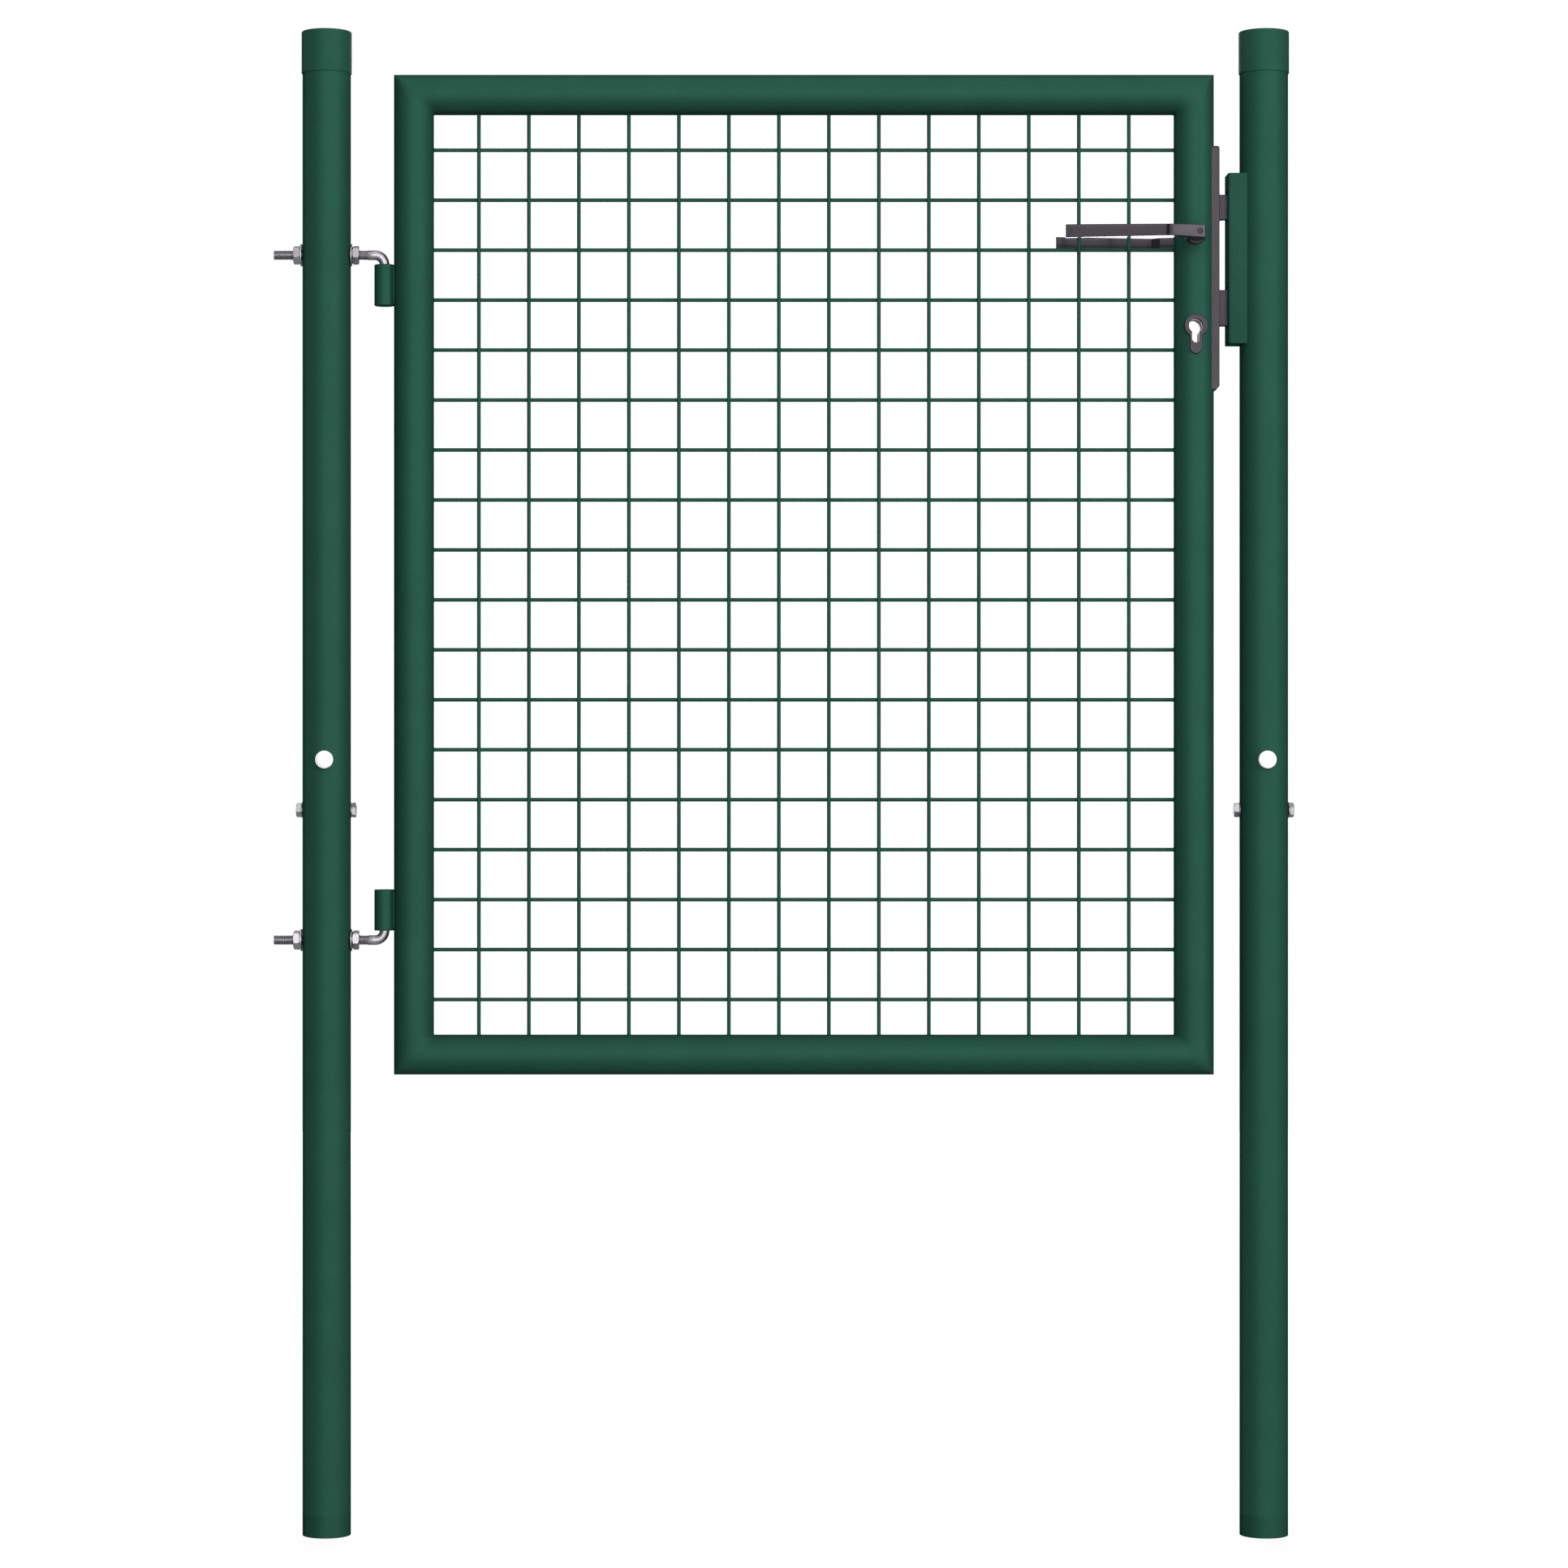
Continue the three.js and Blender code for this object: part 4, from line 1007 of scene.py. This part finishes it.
def coil(x0, x1, z, radius, wire, turns, per_turn=28, sides=10):
    """A compression spring along X whose first and last turns lie close together."""
    rings = []
    first = x0 + wire
    free = x1 - x0 - 2 * wire - 2 * DEAD_TURN
    count = turns * per_turn
    for k in range(count + 1):
        turn = k / per_turn
        dead = min(turn, 1) + max(0, turn - (turns - 1))
        open_share = min(max(turn - 1, 0), turns - 2) / (turns - 2)
        x = first + dead * DEAD_TURN + open_share * free
        cos, sin = math.cos(TAU * turn), math.sin(TAU * turn)
        ring = []
        for i in range(sides):
            a = TAU * i / sides
            reach = radius + wire * math.cos(a)
            ring.append((x + wire * math.sin(a), reach * cos, z + reach * sin))
        if k == 0:
            rings.append([(x, radius, z)])
        rings.append(ring)
    rings.append([(x, radius * cos, z + radius * sin)])
    return skin(rings)


low, high = corners("latch_spring")
z = (low.z + high.z) / 2
spring_radius = (high.z - low.z) / 2 - SPRING_WIRE
spring = make("latch_spring_coiled", coil(low.x, high.x, z, spring_radius, SPRING_WIRE, SPRING_TURNS))
keep(spring, "leaf", "zinc_steel", "zinc_steel", "latch_spring")
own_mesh(spring)

# ---------------------------------------------------------------- levers, spindle, collars, key plates

lever_low, lever_high = corners("lever_back")
GRIP_END = lever_low.x
HUB_RIGHT = lever_high.x - 0.9
OUT = lever_high.y
HUB_BACK = lever_low.y
BEND_X = lever_high.x - 36.0
HUB_LEFT = lever_high.x - 20.1
HUB_FACE = 50.3
THICK = 7
GRIP_Y = 52
TALL_END = 12.9
TALL_BEND = 11.6
TALL_FALL = 1.3
END_TURN = 9
BACK_LONGER = 1.7
END_DROP = 1.2
GROOVE = (-7.6, -0.6)
GROOVE_DEEP = 2.3
LEVER_RADII = (0.8, 2.6, 2.0, 2.0, 1.4, 1.4, 5, 1.2, 1.2, 3, 0.8)

RIVET_R = 2.5
RIVET_HEAD = 3.3
RIVET_PROUD = 0.9
RIVET_FACE = HUB_FACE + (OUT - HUB_FACE) * (HUB_RIGHT - STILE_X) / (HUB_RIGHT - BEND_X)
SPINDLE_HALF = 4
SPINDLE_END = 43.7
SQUARE_HOLE_HALF = 4.3
SQUARE_HOLE_END = 44


def lever_tall(x):
    """A lever's height at x: least at the bend, more towards the hub and the grip's end."""
    if x < BEND_X:
        return TALL_END - TALL_FALL * (x - GRIP_END) / (BEND_X - GRIP_END)
    return TALL_BEND + (x - BEND_X) / (HUB_RIGHT - BEND_X)


def build_lever(name, sign, node_name):
    """A lever, drawn from above: along its outer side to the grip's end and back along its inner side."""
    end = GRIP_END - (BACK_LONGER if sign > 0 else 0)
    points = [
        (HUB_RIGHT, HUB_BACK), (HUB_RIGHT, HUB_FACE), (BEND_X + 0.6, OUT), (end + END_TURN, GRIP_Y + 0.6),
        (end, GRIP_Y - END_DROP), (end, GRIP_Y - END_DROP - THICK + 1.4),
        (end + END_TURN, GRIP_Y - THICK + 0.8), (BEND_X - 8.3, OUT - THICK - 0.4),
        (BEND_X - 0.3, OUT - THICK - 6.2), (HUB_LEFT, OUT - THICK - 8.4), (HUB_LEFT, HUB_BACK),
    ]
    vertices, faces = prism(round_corners(points, LEVER_RADII), -0.5, 0.5)
    vertices = [(x, sign * y, spindle.z + z * lever_tall(x)) for x, y, z in vertices]
    made = soften(make(name, (vertices, faces)), 1.1, 4, 50)
    axis = "+y" if sign > 0 else "-y"
    bore = put(rod(RIVET_R + HOLE_FIT, HUB_FACE - 3, OUT + 5, 32), axis, (STILE_X, 0, spindle.z))
    square = block(
        STILE_X - SQUARE_HOLE_HALF, STILE_X + SQUARE_HOLE_HALF,
        *sorted((sign * (HUB_BACK - 1), sign * SQUARE_HOLE_END)),
        spindle.z - SQUARE_HOLE_HALF, spindle.z + SQUARE_HOLE_HALF,
    )
    left, right = (BEND_X + g for g in GROOVE)
    groove = [(left, OUT + 1), ((left + right) / 2, OUT - GROOVE_DEEP), (right, OUT + 1)]
    groove = prism([(x, sign * y) for x, y in groove], spindle.z - 20, spindle.z + 20)
    carve(made, make("cutter", bore), make("cutter", square), make("cutter", groove))
    keep(made, "lever", "lever_metal", "lever_metal", node_name)


build_lever("lever_front_forged", -1, "lever_front")
build_lever("lever_back_forged", 1, "lever_back")

bar = soften(make("bar", block(
    STILE_X - SPINDLE_HALF, STILE_X + SPINDLE_HALF, -SPINDLE_END, SPINDLE_END,
    spindle.z - SPINDLE_HALF, spindle.z + SPINDLE_HALF,
)), 0.4, 2, 50)
reach = RIVET_FACE + RIVET_PROUD
head = [
    (RIVET_R, reach - 2.2), (RIVET_HEAD, reach - 1.6), (RIVET_HEAD - 0.1, reach - 0.9),
    (RIVET_HEAD - 0.7, reach - 0.3), (1.2, reach - 0.03), (0, reach),
]
pin = lathe([(r, -h) for r, h in reversed(head)] + head, 40)
join(bar, make("pin", put(pin, "+y", (STILE_X, 0, spindle.z))))
bar.name = "spindle_riveted"
keep(bar, "lever", "lever_metal", "lever_metal", "spindle")

COLLAR_BORE = 6.3
NECK_R = 7.0
NECK_START = 8.4
COLLAR_SEAT = 17
COLLAR_EDGE = 1.2
KEY_PLATE_TAIL = 6.3
KEY_PLATE_SEAT = 14.5

for side, axis, sign in (("front", "-y", -1), ("back", "+y", 1)):
    low, high = corners(f"lever_collar_{side}")
    face = max(abs(low.y), abs(high.y))
    radius = (high.x - low.x) / 2
    profile = [(COLLAR_BORE, NECK_START), (NECK_R, NECK_START), (NECK_R, COLLAR_SEAT), (radius, COLLAR_SEAT)]
    profile += [(radius, face - COLLAR_EDGE)]
    profile += arc(radius - COLLAR_EDGE, face - COLLAR_EDGE, COLLAR_EDGE, 0, 90, 6)
    profile += [(NECK_R + 0.4, face), (NECK_R, face - 0.5), (COLLAR_BORE, face - 0.5)]
    body = put(lathe(profile, ROUND_SIDES, True), axis, (STILE_X, 0, spindle.z))
    collar = make(f"lever_collar_{side}_turned", body)
    keep(collar, "leaf", "lock_steel", "lock_steel", f"lever_collar_{side}")

    low, high = corners(f"key_plate_{side}")
    face = max(abs(low.y), abs(high.y))
    outline = keyhole(KEY_PLATE_R, KEY_PLATE_TAIL, low.z, 0)
    depths = sorted((sign * KEY_PLATE_SEAT, sign * face))
    plate = make(f"key_plate_{side}_pressed", in_xz(prism(outline, *depths)))
    soften(plate, 0.9, 4, 60)
    grow = 0 if sign < 0 else KEY_BACK_WIDER
    carve(plate, key_cutter(grow, *sorted((0, sign * (face + 1)))))
    keep(plate, "leaf", "lock_steel", "lock_steel", f"key_plate_{side}")

# ---------------------------------------------------------------- strike channel

STRIKE_WALL = 3.0
STRIKE_BEND = 3.0
STRIKE_SEAT_R = 24.17
SLOT_HALF = 8
SLOT_MARGIN = 3.6

low, high = corners("strike_channel")
post = middle("latch_post_lower_tube")
half = high.y
end = high.x
inner_x = low.x + STRIKE_WALL
outline = [
    (low.x, -half), (end, -half), (end, STRIKE_WALL - half), (inner_x, STRIKE_WALL - half),
    (inner_x, half - STRIKE_WALL), (end, half - STRIKE_WALL), (end, half), (low.x, half),
]
outline = round_corners(outline, [STRIKE_BEND, 0, 0, 0.8, 0.8, 0, 0, STRIKE_BEND])
strike = soften(make("strike_channel_folded", prism(outline, low.z, high.z)), 0.35, 2, 50)
post_cut = make("cutter", put(rod(STRIKE_SEAT_R, low.z - 1, high.z + 1, TUBE_SIDES), "+z", (post.x, 0, 0)))
slots = [
    make("cutter", block(low.x - 1, inner_x + 1, -SLOT_HALF, SLOT_HALF, z0 - SLOT_MARGIN, z1 + SLOT_MARGIN))
    for z0, z1 in BOLT_HEADS
]
carve(strike, post_cut, *slots)
# The strike takes the darker copy of the green coat, which is painted shade; its slot is still green_coat.
keep(strike, "posts", "green_plate_painted_shade", "green_coat", "strike_channel")

# ---------------------------------------------------------------- carried-over nodes

CARRIED = {
    "hinge_post_coupler": "galvanised",
    "latch_post_coupler": "galvanised",
    "lock_case": "zinc_steel",
    "lock_cover": "zinc_steel",
    "follower": "lock_steel",
}
for name, look in CARRIED.items():
    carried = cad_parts[name]
    carried.data.materials.clear()
    carried.data.materials.append(LOOKS[look])

# ---------------------------------------------------------------- stage, camera, light

scene = bpy.context.scene
scene.view_settings.view_transform = "Standard"
scene.view_settings.look = "None"

FLOOR_REACH = 60000
FLOOR_TOP = -0.5
FLOOR_GREY = (0.08, 0.08, 0.08, 1)
GLOW_FROM, GLOW_TO = 1.0, 3.5
GLOW_NEAR, GLOW_FAR = 0.88, 1.02
SHELL_R = 40000
SHELL_GLOW = 0.42
BLACK = (0, 0, 0, 1)
BRIGHT = (1, 1, 1, 1)


def glowing(name, base):
    """A material that gives out white light."""
    material = bpy.data.materials.new(name)
    material.use_nodes = True
    shader = material.node_tree.nodes["Principled BSDF"]
    shader.inputs["Base Color"].default_value = base
    shader.inputs["Emission Color"].default_value = BRIGHT
    return material, shader


# A pale floor that takes a faint shadow and glows up to white further out.
floor = make("floor", block(-FLOOR_REACH, FLOOR_REACH, -FLOOR_REACH, FLOOR_REACH, -20, FLOOR_TOP))
floor_look, floor_shader = glowing("pale_floor", FLOOR_GREY)
floor_shader.inputs["Roughness"].default_value = 0.9
tree = floor_look.node_tree
place = node(tree, "ShaderNodeTexCoord")
reach = node(tree, "ShaderNodeVectorMath", operation="LENGTH")
glow = node(
    tree, "ShaderNodeMapRange", From_Min=GLOW_FROM, From_Max=GLOW_TO, To_Min=GLOW_NEAR, To_Max=GLOW_FAR)
tree.links.new(place.outputs["Object"], reach.inputs[0])
tree.links.new(reach.outputs["Value"], glow.inputs["Value"])
tree.links.new(glow.outputs["Result"], floor_shader.inputs["Emission Strength"])
floor.data.materials.append(floor_look)
floor.visible_diffuse = False
floor.visible_glossy = False

# A dim white shell far outside, seen only in reflections: what the metal mirrors between the light panels.
shell_profile = [(0, -SHELL_R)] + arc(0, 0, SHELL_R, -84, 84, 14) + [(0, SHELL_R)]
shell = make("studio_shell", lathe(shell_profile, 24))
shell_look, shell_shader = glowing("dim_shell", BLACK)
shell_shader.inputs["Emission Strength"].default_value = SHELL_GLOW
shell_look.cycles.emission_sampling = "NONE"
shell.data.materials.append(shell_look)
shell.visible_camera = False
shell.visible_shadow = False
shell.visible_diffuse = False

# The white background, which only the camera sees.
world = bpy.data.worlds.new("studio")
scene.world = world
world.use_nodes = True
background = world.node_tree.nodes["Background"]
background.inputs["Color"].default_value = BRIGHT
background.inputs["Strength"].default_value = 1.05
world.cycles_visibility.diffuse = False
world.cycles_visibility.glossy = False

camera_data = bpy.data.cameras.new("camera")
camera = bpy.data.objects.new("camera", camera_data)
scene.collection.objects.link(camera)
scene.camera = camera
camera.location = (-0.0731, -4.160, 0.754)
camera.rotation_euler = (math.pi / 2, 0, 0)
camera_data.sensor_width = 36
camera_data.lens = 95.46
camera_data.shift_x = 0.0466
camera_data.shift_y = -0.0021
camera_data.clip_end = 200


def panel(name, location, target, size, power):
    """A soft light panel that faces its target."""
    data = bpy.data.lights.new(name, "AREA")
    data.shape = "RECTANGLE"
    data.size, data.size_y = size
    data.energy = power
    made = bpy.data.objects.new(name, data)
    scene.collection.objects.link(made)
    made.location = location
    made.rotation_euler = (Vector(target) - Vector(location)).to_track_quat("-Z", "Y").to_euler()
    made.visible_camera = False
    return made


panel("key", (0.2, -4.7, 0.95), (0, 0, 0.75), (4.6, 4.0), 184)
panel("brow", (0.2, -4.8, 3.2), (0, 0, 1.0), (4.6, 0.6), 60)
panel("right_key", (5.05, -4.2, 1.7), (0.2, 0, 0.8), (1.9, 3.8), 230)
panel("left_fill", (-4.2, 0.6, 1.1), (0, 0, 0.8), (3.0, 3.0), 36)
panel("right_fill", (4.4, 0.9, 1.1), (0, 0, 0.8), (3.0, 3.0), 14)
panel("top", (0, -0.5, 3.1), (0, 0, 1.2), (3.6, 2.4), 44)
panel("bounce", (0, -0.3, 0.02), (0, -0.3, 1.0), (3.0, 2.0), 5)
panel("back", (0, 4.7, 1.15), (0, 0, 0.8), (4.0, 4.0), 260)
